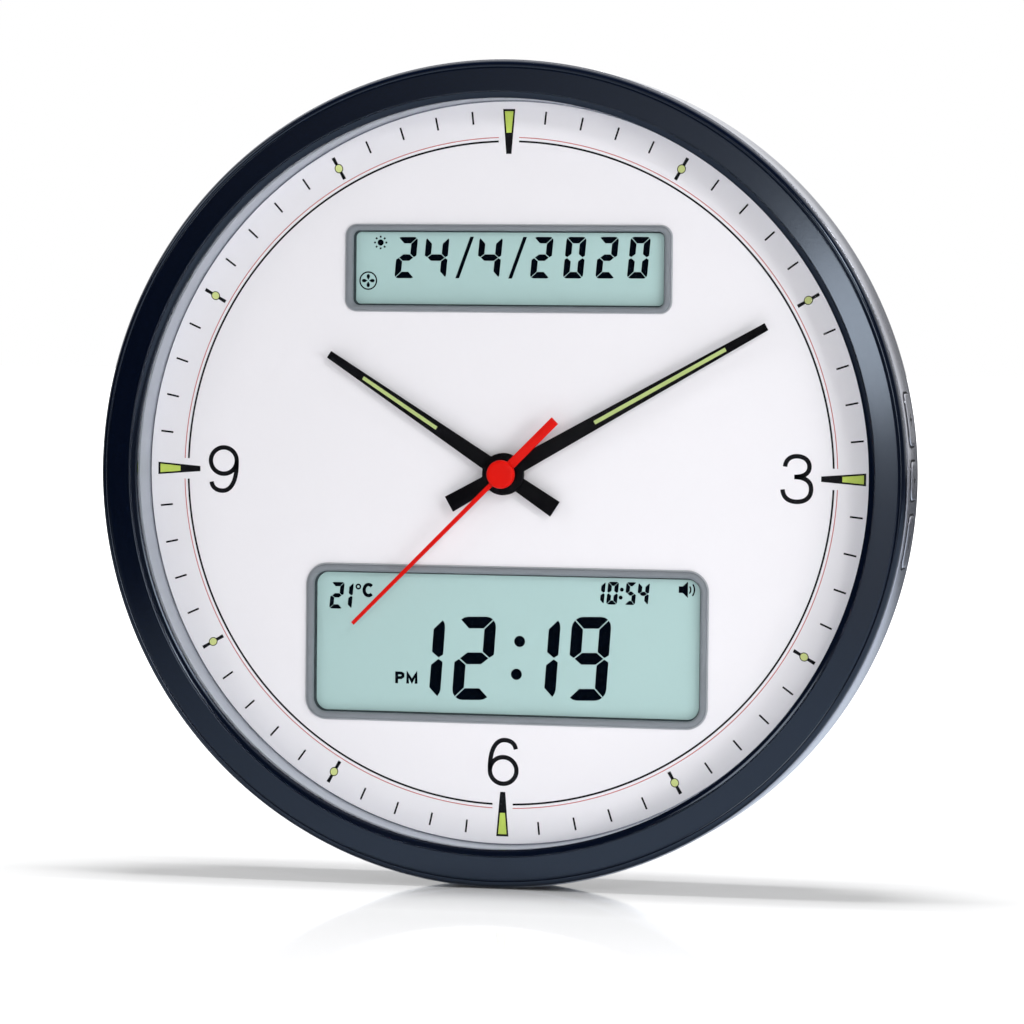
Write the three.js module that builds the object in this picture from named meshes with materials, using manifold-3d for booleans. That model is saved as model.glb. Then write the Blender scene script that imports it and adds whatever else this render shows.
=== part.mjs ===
// A round wall clock with hands, two liquid crystal displays in its dial, a speaker for its call and
// three push buttons in its side. Lengths are in millimetres and angles in degrees.
// It is modelled facing +Z with the wall at z = 0. The last group turns its front to -Y, 12 o'clock up.

import * as THREE from "three";
import { mergeVertices } from "three/addons/utils/BufferGeometryUtils.js";
import Module from "manifold-3d";

const wasm = await Module();
wasm.setup();

// Clearances and fineness
const GAP = 0.3; // between two pieces that are fixed to each other
const RUN_GAP = 0.1; // round a shaft that turns
const OVERRUN = 2; // of a cutter past the face that it cuts
const WELD = 0.0001; // vertices closer than this are one
const RING_SIDES = 60;
const SMALL_SIDES = 16;
const STAKE_SIDES = 8;
const CORNER_STEPS = 3;

// The case's outer radius drives the bezel, dial, displays, hands and cover
const CASE_RADIUS = 150.1;
const CASE_WALL = 2.5;
const CASE_REAR = 16.1;
const CASE_REAR_ROUND = 1.5;
const CASE_INNER_RADIUS = CASE_RADIUS - CASE_WALL;

// Front bezel, with rises measured from the dial's face
const DIAL_FACE = 27;
const BEZEL_SETBACK = 0.4;
const BEZEL_EDGE_WIDTH = 2;
const BEZEL_GROOVE_WIDTH = 0.9;
const BEZEL_GROOVE_DEPTH = 0.35;
const BEZEL_FACE_WIDTH = 8.2;
const BEZEL_LIP_WIDTH = 2.5;
const BEZEL_FOOT_RISE = 13.7;
const BEZEL_FACE_OUTER_RISE = 16.6;
const BEZEL_FACE_INNER_RISE = 16.9;
const BEZEL_CROWN = 0.1;
const BEZEL_STEP = 0.8;
const BEZEL_STEP_SLOPE = 0.4;
const BEZEL_EDGE_LAND = 0.3;
const BEZEL_LIP_RISE = 15.1;
const BEZEL_LIP_THICKNESS = 1.2;
const BEZEL_WALL = 2;
const BEZEL_SKIRT_TIP_RISE = 10.8;
const BEZEL_TOP_WALL = 2.3;
const BEZEL_CROWN_STEPS = 2;
const BEZEL_ROUND_STEPS = 3;
const BEZEL_RADIUS = CASE_RADIUS - BEZEL_SETBACK;
const BEZEL_EDGE_INNER_RADIUS = BEZEL_RADIUS - BEZEL_EDGE_WIDTH;
const BEZEL_FACE_OUTER_RADIUS = BEZEL_EDGE_INNER_RADIUS - BEZEL_GROOVE_WIDTH;
const BEZEL_FACE_INNER_RADIUS = BEZEL_FACE_OUTER_RADIUS - BEZEL_FACE_WIDTH;
const BEZEL_LIP_RADIUS = BEZEL_FACE_INNER_RADIUS - BEZEL_LIP_WIDTH;
const BEZEL_FOOT = DIAL_FACE + BEZEL_FOOT_RISE;
const BEZEL_LIP_BACK = DIAL_FACE + BEZEL_LIP_RISE - BEZEL_LIP_THICKNESS;
const BEZEL_SKIRT_TIP = DIAL_FACE + BEZEL_SKIRT_TIP_RISE;
const CASE_FRONT = BEZEL_FOOT - GAP;

// Lens, the ring wall that holds it off the dial, the dial, and the case floor under them
const LENS_OVERLAP = 3.4;
const LENS_THICKNESS = 1.5;
const RING_WALL = 2.2;
const DIAL_EDGE_GAP = 0.6;
const DIAL_THICKNESS = 1.2;
const FLOOR_THICKNESS = 2;
const LENS_RADIUS = BEZEL_LIP_RADIUS + LENS_OVERLAP;
const LENS_FRONT = BEZEL_LIP_BACK - GAP;
const LENS_BACK = LENS_FRONT - LENS_THICKNESS;
const RING_OUTER_RADIUS = BEZEL_LIP_RADIUS + RING_WALL;
const DIAL_RADIUS = BEZEL_LIP_RADIUS - DIAL_EDGE_GAP;
const FLOOR_FRONT = DIAL_FACE - DIAL_THICKNESS;
const FLOOR_BACK = FLOOR_FRONT - FLOOR_THICKNESS;

// Back cover, a tub with a flat bottom that lies against the wall
const COVER_WALL = 2.4;
const COVER_RIM_WIDTH = 17.1;
const COVER_SLOPE_RUN = 11;
const COVER_TUB_LEDGE = 2;
const COVER_ROUND = 2.5;
const COVER_ROUND_RISE = 1;
const COVER_TUB_RISE = 14.5;
const COVER_FLANGE_SETBACK = 0.3;
const COVER_FLANGE_INNER_RADIUS = CASE_RADIUS - COVER_RIM_WIDTH;
const COVER_TUB_RADIUS = COVER_FLANGE_INNER_RADIUS - COVER_TUB_LEDGE;
const COVER_FLAT_RADIUS = COVER_TUB_RADIUS - COVER_SLOPE_RUN;
const COVER_FLANGE_BACK = CASE_REAR + COVER_FLANGE_SETBACK;
const COVER_FLANGE_FRONT = COVER_FLANGE_BACK + COVER_WALL;
const GUSSET_COUNT = 12;
const GUSSET_FIRST_ANGLE = 15;
const GUSSET_THICKNESS = 1.6;
const GUSSET_RUN = 10;

// Case screws and their bosses
const SCREW_COUNT = 6;
const SCREW_INSET = 10.1;
const SCREW_CIRCLE_RADIUS = CASE_RADIUS - SCREW_INSET;
const SCREW_FIRST_ANGLE = 0;
const SCREW_SHANK_RADIUS = 1.45;
const SCREW_SHANK_LENGTH = 6.2;
const SCREW_HEAD_RADIUS = 2.9;
const SCREW_HEAD_HEIGHT = 2;
const SCREW_DOME_SHARE = 0.55;
const SCREW_SLOT_WIDTH = 0.7;
const SCREW_SLOT_DEPTH = 1;
const SCREW_SLOT_LENGTH = 3.4;
const BOSS_RADIUS = 3.6;

// Displays: their frames' sizes are shares of the dial's radius
const MOVEMENT_SIZE = 56;
const FRAME_RISE = 1.4;
const FRAME_ROUND = 0.6;
const FRAME_ROUND_STEPS = 1;
const FRAME_LIP_WALL = 1;
const FRAME_LIP_DEPTH = 1.9;
const CELL_MARGIN = 2;
const CELL_THICKNESS = 2;
const CELL_CORNER = 0.8;
const BOARD_THICKNESS = 1.6;
const BOARD_SIDE_MARGIN = 7.4;
const BOARD_END_MARGIN = 2.5;
const BOARD_CORNER = 2;
const BOARD_CLEARANCE = 4.3;
const STAKE_RADIUS = 1.5;
const STAKE_HEAD_RADIUS = 2.5;
const STAKE_HEAD_HEIGHT = 1;
const STAKE_INSET = 3.2;
const UPPER_PLACE_SHARE = 0.552;
const UPPER_WIDTH_SHARE = 0.9048;
const UPPER_HEIGHT_SHARE = 0.2376;
const UPPER_CORNER = 4.5;
const UPPER_SIDE_BEAD = 3;
const UPPER_END_BEAD = 2.4;
const UPPER_WINDOW_CORNER = 2.4;
const LOWER_WIDTH_SHARE = 1.1159;
const LOWER_HEIGHT_SHARE = 0.4273;
const LOWER_CORNER = 8;
const LOWER_SIDE_BEAD = 3;
const LOWER_END_BEAD = 2.95;
const LOWER_WINDOW_CORNER = 5;
const LOWER_SHIFT = 0.4;
const LOWER_HEIGHT = DIAL_RADIUS * LOWER_HEIGHT_SHARE;
const LOWER_BOARD_RISE = CELL_MARGIN + BOARD_END_MARGIN - LOWER_END_BEAD;
const LOWER_TOP = MOVEMENT_SIZE / 2 + BOARD_CLEARANCE + LOWER_BOARD_RISE;
const UPPER = framed(
  [0, DIAL_RADIUS * UPPER_PLACE_SHARE],
  [DIAL_RADIUS * UPPER_WIDTH_SHARE, DIAL_RADIUS * UPPER_HEIGHT_SHARE, UPPER_CORNER],
  [UPPER_SIDE_BEAD, UPPER_END_BEAD, UPPER_WINDOW_CORNER],
);
const LOWER = framed(
  [LOWER_SHIFT, -LOWER_TOP - LOWER_HEIGHT / 2],
  [DIAL_RADIUS * LOWER_WIDTH_SHARE, LOWER_HEIGHT, LOWER_CORNER],
  [LOWER_SIDE_BEAD, LOWER_END_BEAD, LOWER_WINDOW_CORNER],
);
const CELL_FRONT = DIAL_FACE - FRAME_LIP_DEPTH - GAP;
const CELL_BACK = CELL_FRONT - CELL_THICKNESS;
const BOARD_FRONT = CELL_BACK - GAP;
const BOARD_BACK = BOARD_FRONT - BOARD_THICKNESS;

// Quartz movement, its threaded bush and the nut that clamps the dial
const MOVEMENT_DEPTH = 16;
const MOVEMENT_CORNER = 4;
const MOVEMENT_LID_INSET = 2;
const MOVEMENT_LID_DEPTH = 1.2;
const BUSH_RADIUS = 4;
const BUSH_RISE = 2.6;
const NUT_RADIUS = 6.9;
const NUT_THICKNESS = 1.9;
const ARBOR_DEPTH = 11;
const MOVEMENT_BACK = FLOOR_BACK - MOVEMENT_DEPTH;
const BUSH_TOP = DIAL_FACE + BUSH_RISE;
const ARBOR_FLOOR = FLOOR_BACK - ARBOR_DEPTH;

// Coaxial tubes of the hands, from the inside out
const SECOND_SHAFT_RADIUS = 0.7;
const TUBE_WALL = 0.75;
const MINUTE_TUBE_BORE = SECOND_SHAFT_RADIUS + RUN_GAP;
const MINUTE_TUBE_RADIUS = MINUTE_TUBE_BORE + TUBE_WALL;
const HOUR_TUBE_BORE = MINUTE_TUBE_RADIUS + RUN_GAP;
const HOUR_TUBE_RADIUS = HOUR_TUBE_BORE + TUBE_WALL;
const BUSH_BORE = HOUR_TUBE_RADIUS + RUN_GAP;

// Hands: sheet metal with round hubs, pressed on their tubes
const HAND_THICKNESS = 0.6;
const HAND_CLEARANCE = 0.5;
const TUBE_PROUD = 0.3;
const PRESS_GAP = 0.1;
const HUB_RADIUS = 7.7;
const HUB_SIDES = 24;
const HAND_TAIL = 23;
const HOUR_LENGTH_SHARE = 0.583;
const MINUTE_LENGTH_SHARE = 0.82;
const SECOND_LENGTH_SHARE = 0.581;
const HOUR_HAND = {
  angle: 302.9,
  length: DIAL_RADIUS * HOUR_LENGTH_SHARE,
  tipWidth: 2.5,
  rootWidth: 4.4,
  tailLength: HAND_TAIL,
  tailRootWidth: 5.2,
  tailWidth: 6.4,
};
const MINUTE_HAND = {
  angle: 60.6,
  length: DIAL_RADIUS * MINUTE_LENGTH_SHARE,
  tipWidth: 2.5,
  rootWidth: 4.8,
  tailLength: HAND_TAIL,
  tailRootWidth: 5.2,
  tailWidth: 6.3,
};
const SECOND_HAND = {
  angle: 225,
  length: DIAL_RADIUS * SECOND_LENGTH_SHARE,
  tipWidth: 1.2,
  rootWidth: 1.6,
  tailLength: 28,
  tailRootWidth: 3.4,
  tailWidth: 3.4,
};
const SECOND_HAND_THICKNESS = 0.4;
const SECOND_HAND_STAND = 1.7;
const SECOND_HUB_RADIUS = 4.2;
const CAP_RADIUS = 5.2;
const CAP_HEIGHT = 2.1;
const CAP_ROUND = 1;
const CAP_ROUND_STEPS = 3;
const CAP_BORE_DEPTH = 1.3;
const LUME_THICKNESS = 0.15;
const LUME_START_SHARE = 0.25;
const HOUR_LUME_END_SHARE = 0.468;
const MINUTE_LUME_END_SHARE = 0.695;
const HOUR_LUME_WIDTH = 1.3;
const MINUTE_LUME_WIDTH = 1.5;
const HOUR_HAND_BACK = BUSH_TOP + HAND_CLEARANCE;
const HOUR_HAND_FRONT = HOUR_HAND_BACK + HAND_THICKNESS;
const MINUTE_HAND_BACK = HOUR_HAND_FRONT + TUBE_PROUD + HAND_CLEARANCE;
const MINUTE_HAND_FRONT = MINUTE_HAND_BACK + HAND_THICKNESS;
const SECOND_HAND_BACK = MINUTE_HAND_FRONT + SECOND_HAND_STAND;
const SECOND_HAND_FRONT = SECOND_HAND_BACK + SECOND_HAND_THICKNESS;

// Setting knob, reached through the back cover
const KNOB_INSET = 10;
const KNOB_X = 0;
const KNOB_Y = KNOB_INSET - MOVEMENT_SIZE / 2;
const KNOB_RADIUS = 7;
const KNOB_GROOVE = 0.6;
const KNOB_LOBES = 12;
const KNOB_RECESS = 1.2;
const KNOB_STEM_RADIUS = 2;
const KNOB_STEM_DEPTH = 3;
const KNOB_HOLE_RADIUS = 10;
const KNOB_COLLAR_WALL = 1.6;
const KNOB_COLLAR_HEIGHT = 2.4;

// Side buttons, their slots, and the flat board with three switches behind them
const BUTTON_WIDTH = 12.5;
const BUTTON_CORNER = 3.6;
const BUTTON_PROUD = 0.6;
const BUTTON_FLANGE = 0.9;
const BUTTON_FLANGE_THICKNESS = 1.6;
const BUTTON_TRAVEL = 0.8;
const BUTTON_CLEARANCE = 1.15;
const BUTTON_DEPTH = BEZEL_SKIRT_TIP - BUTTON_CLEARANCE - BUTTON_FLANGE - BUTTON_WIDTH / 2;
const OUTER_BUTTON_LENGTH = 18.8;
const MIDDLE_BUTTON_LENGTH = 14;
const BUTTON_SPACE = 5.4;
const OUTER_BUTTON_PLACE = MIDDLE_BUTTON_LENGTH / 2 + BUTTON_SPACE + OUTER_BUTTON_LENGTH / 2;
const BUTTONS = [
  { name: "upper", y: OUTER_BUTTON_PLACE, length: OUTER_BUTTON_LENGTH },
  { name: "middle", y: 0, length: MIDDLE_BUTTON_LENGTH },
  { name: "lower", y: -OUTER_BUTTON_PLACE, length: OUTER_BUTTON_LENGTH },
];
const STEM_RADIUS = 1.4;
const SWITCH_SIZE = 6.2;
const SWITCH_HEIGHT = 2.2;
const SWITCH_CORNER = 0.6;
const STEM_SPARE = 0.5;
const SWITCH_BORE_DEPTH = GAP + BUTTON_TRAVEL + STEM_SPARE;
const SWITCH_BOARD_THICKNESS = 1;
const SWITCH_BOARD_END = 3.3;
const SWITCH_BOARD_LENGTH = 2 * (OUTER_BUTTON_PLACE + OUTER_BUTTON_LENGTH / 2 + SWITCH_BOARD_END);
const SWITCH_BOARD_CLEARANCE = 0.5;
const SWITCH_BOARD_TOP_GAP = 1.3;
const POST_WALL = 1.5;
const POST_LENGTH = 3.5;
const SWITCH_BOARD_BACK = RING_OUTER_RADIUS + SWITCH_BOARD_CLEARANCE;
const SWITCH_BOARD_FRONT = SWITCH_BOARD_BACK + SWITCH_BOARD_THICKNESS;
const SWITCH_BACK = SWITCH_BOARD_FRONT + GAP;
const SWITCH_FRONT = SWITCH_BACK + SWITCH_HEIGHT;
const STEM_TIP = SWITCH_FRONT - GAP;
const FLANGE_OUTER_RADIUS = CASE_INNER_RADIUS - GAP;
const FLANGE_INNER_RADIUS = FLANGE_OUTER_RADIUS - BUTTON_FLANGE_THICKNESS;

// Battery bay for three AA cells, with its door, its contacts and their springs
const CELL_RADIUS = 7.25;
const CELL_BODY_LENGTH = 49.2;
const CELL_NUB_RADIUS = 2.75;
const CELL_NUB_LENGTH = 1.3;
const CELL_EDGE = 0.8;
const CELL_COUNT = 3;
const CELL_PITCH = 15.1;
const BAY_INSET = 37;
const BAY_X = COVER_FLAT_RADIUS - BAY_INSET;
const BAY_Y = 0;
const BAY_WALL = 1.8;
const BAY_SIDE_GAP = 0.9;
const BAY_CORNER = 1.5;
const BAY_DEPTH = 17.8;
const BAY_RIB_THICKNESS = 1;
const BAY_RIB_HEIGHT = 4.8;
const SPRING_ROOM = 5.4;
const CONTACT_THICKNESS = 0.5;
const CONTACT_WIDTH = 10;
const CONTACT_HEIGHT = 11;
const CONTACT_DIMPLE_RADIUS = 2;
const CONTACT_DIMPLE_HEIGHT = 0.4;
const SPRING_WIRE_RADIUS = 0.35;
const SPRING_WIRE_SIDES = 4;
const SPRING_BASE_RADIUS = 4;
const SPRING_TIP_RADIUS = 2.4;
const SPRING_TURNS = 3;
const SPRING_STEPS_PER_TURN = 8;
const DOOR_MARGIN = 1.4;
const DOOR_THICKNESS = 1.7;
const DOOR_CORNER = 3;
const DOOR_RIB_HEIGHT = 1.6;
const DOOR_RIB_THICKNESS = 1.2;
const DOOR_GRIP_COUNT = 5;
const DOOR_GRIP_PITCH = 2.4;
const DOOR_GRIP_WIDTH = 1;
const DOOR_GRIP_DEPTH = 0.5;
const DOOR_GRIP_LENGTH = 16;
const DOOR_GRIP_INSET = 6;
const CELLS_DEPTH = COVER_WALL + CELL_RADIUS + GAP + GAP;
const BAY_INNER_WIDTH = (CELL_COUNT - 1) * CELL_PITCH + 2 * CELL_RADIUS + 2 * BAY_SIDE_GAP;
const BAY_INNER_LENGTH =
  CELL_BODY_LENGTH + CELL_NUB_LENGTH + SPRING_ROOM + 2 * (CONTACT_THICKNESS + GAP) + CONTACT_DIMPLE_HEIGHT;

// Speaker and its grille in the back cover
const SPEAKER_INSET = 40;
const SPEAKER_X = SPEAKER_INSET - COVER_FLAT_RADIUS;
const SPEAKER_Y = 0;
const SPEAKER_RADIUS = 28.5;
const SPEAKER_FLANGE = 1.3;
const SPEAKER_RIM = 4;
const SPEAKER_CONE_RADIUS = SPEAKER_RADIUS - SPEAKER_RIM;
const SPEAKER_THROAT_RADIUS = 9;
const SPEAKER_BASKET_DEPTH = 8;
const SPEAKER_BASKET_WALL = 1;
const SPEAKER_BASKET_END_RADIUS = 13;
const SPEAKER_MAGNET_RADIUS = 16;
const SPEAKER_MAGNET_DEPTH = 6;
const SPEAKER_SIDES = 24;
const CONE_WALL = 0.6;
const CONE_DEPTH = 5;
const CONE_DOME_RISE = 2;
const COLLAR_WALL = 1.8;
const COLLAR_HEIGHT = 4;
const GRILLE_RADIUS = 23.5;
const GRILLE_SLOTS = 9;
const GRILLE_PITCH = 5.2;
const GRILLE_SLOT_WIDTH = 2.6;
const GRILLE_CORNER_SHARE = 0.45;

// Keyhole hanger near the top of the back cover
const HANGER_INSET = 28;
const HANGER_Y = COVER_FLAT_RADIUS - HANGER_INSET;
const HANGER_WIDTH = 36;
const HANGER_HEIGHT = 34;
const HANGER_CORNER = 3;
const HANGER_THICKNESS = 1.2;
const KEYHOLE_HEAD_RADIUS = 5;
const KEYHOLE_SLOT_WIDTH = 5;
const KEYHOLE_SLOT_RISE = 12;
const KEYHOLE_MARGIN = 1.6;
const PEG_RADIUS = 1.6;
const PEG_INSET = 4;
const PEG_HEIGHT = 2.6;

// A display's place, outer size and window from [x, y], [width, height, corner] and the bead's sizes
function framed([x, y], [width, height, corner], [sideBead, endBead, windowCorner]) {
  return {
    x,
    y,
    width,
    height,
    corner,
    windowWidth: width - 2 * sideBead,
    windowHeight: height - 2 * endBead,
    windowCorner,
  };
}

// Solids: geometry made by three.js, joined and cut as closed bodies

function solidOf(geometry) {
  const loose = geometry.index ? geometry.toNonIndexed() : geometry.clone();
  const bare = new THREE.BufferGeometry();
  bare.setAttribute("position", loose.getAttribute("position"));
  const merged = mergeVertices(bare, WELD);
  const corners = merged.index.array;
  const kept = [];
  for (let i = 0; i < corners.length; i += 3) {
    const [a, b, c] = corners.slice(i, i + 3);
    if (a !== b && b !== c && c !== a) {
      kept.push(a, b, c);
    }
  }
  const mesh = new wasm.Mesh({
    numProp: 3,
    vertProperties: merged.getAttribute("position").array,
    triVerts: new Uint32Array(kept),
  });
  return new wasm.Manifold(mesh);
}

function asSolid(item) {
  return item.isBufferGeometry ? solidOf(item) : item;
}

function join(...items) {
  return items.map(asSolid).reduce((whole, next) => whole.add(next));
}

function cut(body, ...tools) {
  return tools.map(asSolid).reduce((left, tool) => left.subtract(tool), asSolid(body));
}

function common(a, b) {
  return asSolid(a).intersect(asSolid(b));
}

function geometryOf(item) {
  if (item.isBufferGeometry) {
    return item;
  }
  const mesh = item.getMesh();
  const geometry = new THREE.BufferGeometry();
  geometry.setAttribute("position", new THREE.BufferAttribute(mesh.vertProperties, mesh.numProp));
  geometry.setIndex(new THREE.BufferAttribute(mesh.triVerts, 1));
  geometry.computeVertexNormals();
  return geometry;
}

function finish(color, roughness, metalness = 0) {
  return new THREE.MeshStandardMaterial({ color, roughness, metalness });
}

function piece(name, body, material) {
  const mesh = new THREE.Mesh(geometryOf(body), material);
  mesh.name = name;
  return mesh;
}

// Turned about the clock's axis from a closed profile of [radius, depth] pairs, inner side first
function turned(profile, sides = RING_SIDES) {
  const points = profile.map(([radius, depth]) => new THREE.Vector2(radius, depth));
  if (profile[0][0] > 0) {
    points.push(points[0].clone());
  }
  const lathe = new THREE.LatheGeometry(points, sides);
  lathe.rotateX(Math.PI / 2);
  return lathe;
}

function disk(radius, back, front, sides = RING_SIDES) {
  return turned([[0, back], [radius, back], [radius, front], [0, front]], sides);
}

function tube(inner, outer, back, front, sides = RING_SIDES) {
  return turned([[inner, back], [outer, back], [outer, front], [inner, front]], sides);
}

function rod(x, y, radius, back, front, sides = SMALL_SIDES) {
  const cylinder = new THREE.CylinderGeometry(radius, radius, front - back, sides);
  cylinder.rotateX(Math.PI / 2);
  cylinder.translate(x, y, (back + front) / 2);
  return cylinder;
}

function block(low, high) {
  const box = new THREE.BoxGeometry(high[0] - low[0], high[1] - low[1], high[2] - low[2]);
  box.translate((low[0] + high[0]) / 2, (low[1] + high[1]) / 2, (low[2] + high[2]) / 2);
  return box;
}

function roundedRect(x, y, width, height, corner) {
  const right = x + width / 2 - corner;
  const left = x - width / 2 + corner;
  const top = y + height / 2 - corner;
  const bottom = y - height / 2 + corner;
  const quarter = Math.PI / 2;
  const shape = new THREE.Shape();
  shape.absarc(right, top, corner, 0, quarter);
  shape.absarc(left, top, corner, quarter, 2 * quarter);
  shape.absarc(left, bottom, corner, 2 * quarter, 3 * quarter);
  shape.absarc(right, bottom, corner, 3 * quarter, 4 * quarter);
  shape.closePath();
  return shape;
}

function polygon(points) {
  return new THREE.Shape(points.map(([x, y]) => new THREE.Vector2(x, y)));
}

function prism(shape, back, front, steps = CORNER_STEPS) {
  const options = { depth: front - back, bevelEnabled: false, curveSegments: steps };
  const plate = new THREE.ExtrudeGeometry(shape, options);
  plate.translate(0, 0, back);
  return plate;
}

// A shape drawn in the plane of Y and Z, run along X
const SIDEWAYS = new THREE.Matrix4().makeBasis(
  new THREE.Vector3(0, 1, 0),
  new THREE.Vector3(0, 0, 1),
  new THREE.Vector3(1, 0, 0),
);

function sidePrism(shape, from, to, steps = CORNER_STEPS) {
  return prism(shape, from, to, steps).applyMatrix4(SIDEWAYS);
}

function around(count, firstAngle = 0) {
  return Array.from({ length: count }, (_, i) => THREE.MathUtils.degToRad(firstAngle + (360 * i) / count));
}

// Front bezel: a moulded ring, hollow from behind, with a round edge, a groove, a nearly flat face and a
// stepped lip over the lens
function frontBezel() {
  const faceOuter = DIAL_FACE + BEZEL_FACE_OUTER_RISE;
  const faceInner = DIAL_FACE + BEZEL_FACE_INNER_RISE;
  const land = BEZEL_FOOT + BEZEL_EDGE_LAND;
  const round = [];
  for (let i = 0; i <= BEZEL_ROUND_STEPS; i += 1) {
    const turn = (Math.PI / 2) * (i / BEZEL_ROUND_STEPS);
    const radius = BEZEL_EDGE_INNER_RADIUS + BEZEL_EDGE_WIDTH * Math.cos(turn);
    round.push([radius, land + (faceOuter - land) * Math.sin(turn)]);
  }
  const grooveMiddle = BEZEL_FACE_OUTER_RADIUS + BEZEL_GROOVE_WIDTH / 2;
  const crown = [];
  for (let i = 0; i <= BEZEL_CROWN_STEPS; i += 1) {
    const share = i / BEZEL_CROWN_STEPS;
    const radius = THREE.MathUtils.lerp(BEZEL_FACE_OUTER_RADIUS, BEZEL_FACE_INNER_RADIUS, share);
    const level = THREE.MathUtils.lerp(faceOuter, faceInner, share);
    crown.push([radius, level + BEZEL_CROWN * Math.sin(Math.PI * share)]);
  }
  const skirtOuter = CASE_INNER_RADIUS - GAP;
  const rebate = LENS_RADIUS + GAP;
  const underside = faceOuter - BEZEL_TOP_WALL;
  return turned([
    [rebate, BEZEL_SKIRT_TIP],
    [rebate + BEZEL_WALL, BEZEL_SKIRT_TIP],
    [rebate + BEZEL_WALL, underside],
    [skirtOuter - BEZEL_WALL, underside],
    [skirtOuter - BEZEL_WALL, BEZEL_SKIRT_TIP],
    [skirtOuter, BEZEL_SKIRT_TIP],
    [skirtOuter, BEZEL_FOOT],
    [BEZEL_RADIUS, BEZEL_FOOT],
    ...round,
    [grooveMiddle, faceOuter - BEZEL_GROOVE_DEPTH],
    ...crown,
    [BEZEL_FACE_INNER_RADIUS - BEZEL_STEP_SLOPE, faceInner - BEZEL_STEP],
    [BEZEL_LIP_RADIUS, DIAL_FACE + BEZEL_LIP_RISE],
    [BEZEL_LIP_RADIUS, BEZEL_LIP_BACK],
    [rebate, BEZEL_LIP_BACK],
  ]);
}

// Display frame: a rounded bead on the dial with a lip that lines the window
function displayFrame(size) {
  const bead = roundedRect(size.x, size.y, size.width, size.height, size.corner);
  const hole = [size.x, size.y, size.windowWidth, size.windowHeight, size.windowCorner];
  bead.holes.push(roundedRect(...hole));
  const start = DIAL_FACE - OVERRUN;
  const top = new THREE.ExtrudeGeometry(bead, {
    depth: FRAME_RISE + OVERRUN - FRAME_ROUND,
    bevelThickness: FRAME_ROUND,
    bevelSize: FRAME_ROUND,
    bevelOffset: -FRAME_ROUND,
    bevelSegments: FRAME_ROUND_STEPS,
    curveSegments: CORNER_STEPS,
  });
  top.translate(0, 0, start);
  const reach = size.width;
  const low = [size.x - reach, size.y - reach, start - OVERRUN];
  const high = [size.x + reach, size.y + reach, DIAL_FACE];
  const lip = windowShape(size, FRAME_LIP_WALL);
  lip.holes.push(roundedRect(...hole));
  const lipBody = prism(lip, DIAL_FACE - FRAME_LIP_DEPTH, DIAL_FACE + FRAME_ROUND);
  return join(cut(top, block(low, high)), lipBody);
}

function windowShape(size, margin) {
  const width = size.windowWidth + 2 * margin;
  const height = size.windowHeight + 2 * margin;
  return roundedRect(size.x, size.y, width, height, size.windowCorner + margin);
}

function dial() {
  const face = disk(DIAL_RADIUS, FLOOR_FRONT, DIAL_FACE);
  const windows = [UPPER, LOWER].map((size) =>
    prism(windowShape(size, FRAME_LIP_WALL + GAP), FLOOR_FRONT - OVERRUN, DIAL_FACE + OVERRUN),
  );
  const bore = rod(0, 0, BUSH_RADIUS + GAP, FLOOR_FRONT - OVERRUN, DIAL_FACE + OVERRUN);
  return cut(face, ...windows, bore);
}

function displayCell(size) {
  const width = size.windowWidth + 2 * CELL_MARGIN;
  const height = size.windowHeight + 2 * CELL_MARGIN;
  return prism(roundedRect(size.x, size.y, width, height, CELL_CORNER), CELL_BACK, CELL_FRONT);
}

function boardSize(size) {
  return {
    width: size.windowWidth + 2 * (CELL_MARGIN + BOARD_SIDE_MARGIN),
    height: size.windowHeight + 2 * (CELL_MARGIN + BOARD_END_MARGIN),
  };
}

function stakePlaces(size) {
  const board = boardSize(size);
  const dx = board.width / 2 - STAKE_INSET;
  const dy = board.height / 2 - STAKE_INSET;
  return [[dx, dy], [-dx, dy], [-dx, -dy], [dx, -dy]].map(([x, y]) => [size.x + x, size.y + y]);
}

function displayBoard(size) {
  const { width, height } = boardSize(size);
  const plate = prism(roundedRect(size.x, size.y, width, height, BOARD_CORNER), BOARD_BACK, BOARD_FRONT);
  const holes = stakePlaces(size).map(([x, y]) =>
    rod(x, y, STAKE_RADIUS + GAP, BOARD_BACK - OVERRUN, BOARD_FRONT + OVERRUN, STAKE_SIDES),
  );
  return cut(plate, ...holes);
}

// A stake of the case floor with its head melted over the board
function stake([x, y]) {
  const headFront = BOARD_BACK - GAP;
  const headBack = headFront - STAKE_HEAD_HEIGHT;
  const pin = rod(x, y, STAKE_RADIUS, headBack, FLOOR_BACK + FLOOR_THICKNESS / 2, STAKE_SIDES);
  const head = rod(x, y, STAKE_HEAD_RADIUS, headBack, headFront, STAKE_SIDES);
  return join(pin, head);
}

function screwPlaces() {
  return around(SCREW_COUNT, SCREW_FIRST_ANGLE).map((turn) => [
    SCREW_CIRCLE_RADIUS * Math.sin(turn),
    SCREW_CIRCLE_RADIUS * Math.cos(turn),
  ]);
}

function boss([x, y]) {
  const post = rod(x, y, BOSS_RADIUS, COVER_FLANGE_FRONT + GAP, FLOOR_BACK + FLOOR_THICKNESS / 2);
  const hole = rod(x, y, SCREW_SHANK_RADIUS + GAP, COVER_FLANGE_FRONT - OVERRUN, FLOOR_BACK, STAKE_SIDES);
  return cut(post, hole);
}

function buttonShape(button, margin) {
  const length = button.length + 2 * margin;
  const width = BUTTON_WIDTH + 2 * margin;
  return roundedRect(button.y, BUTTON_DEPTH, length, width, BUTTON_CORNER + margin);
}

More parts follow.
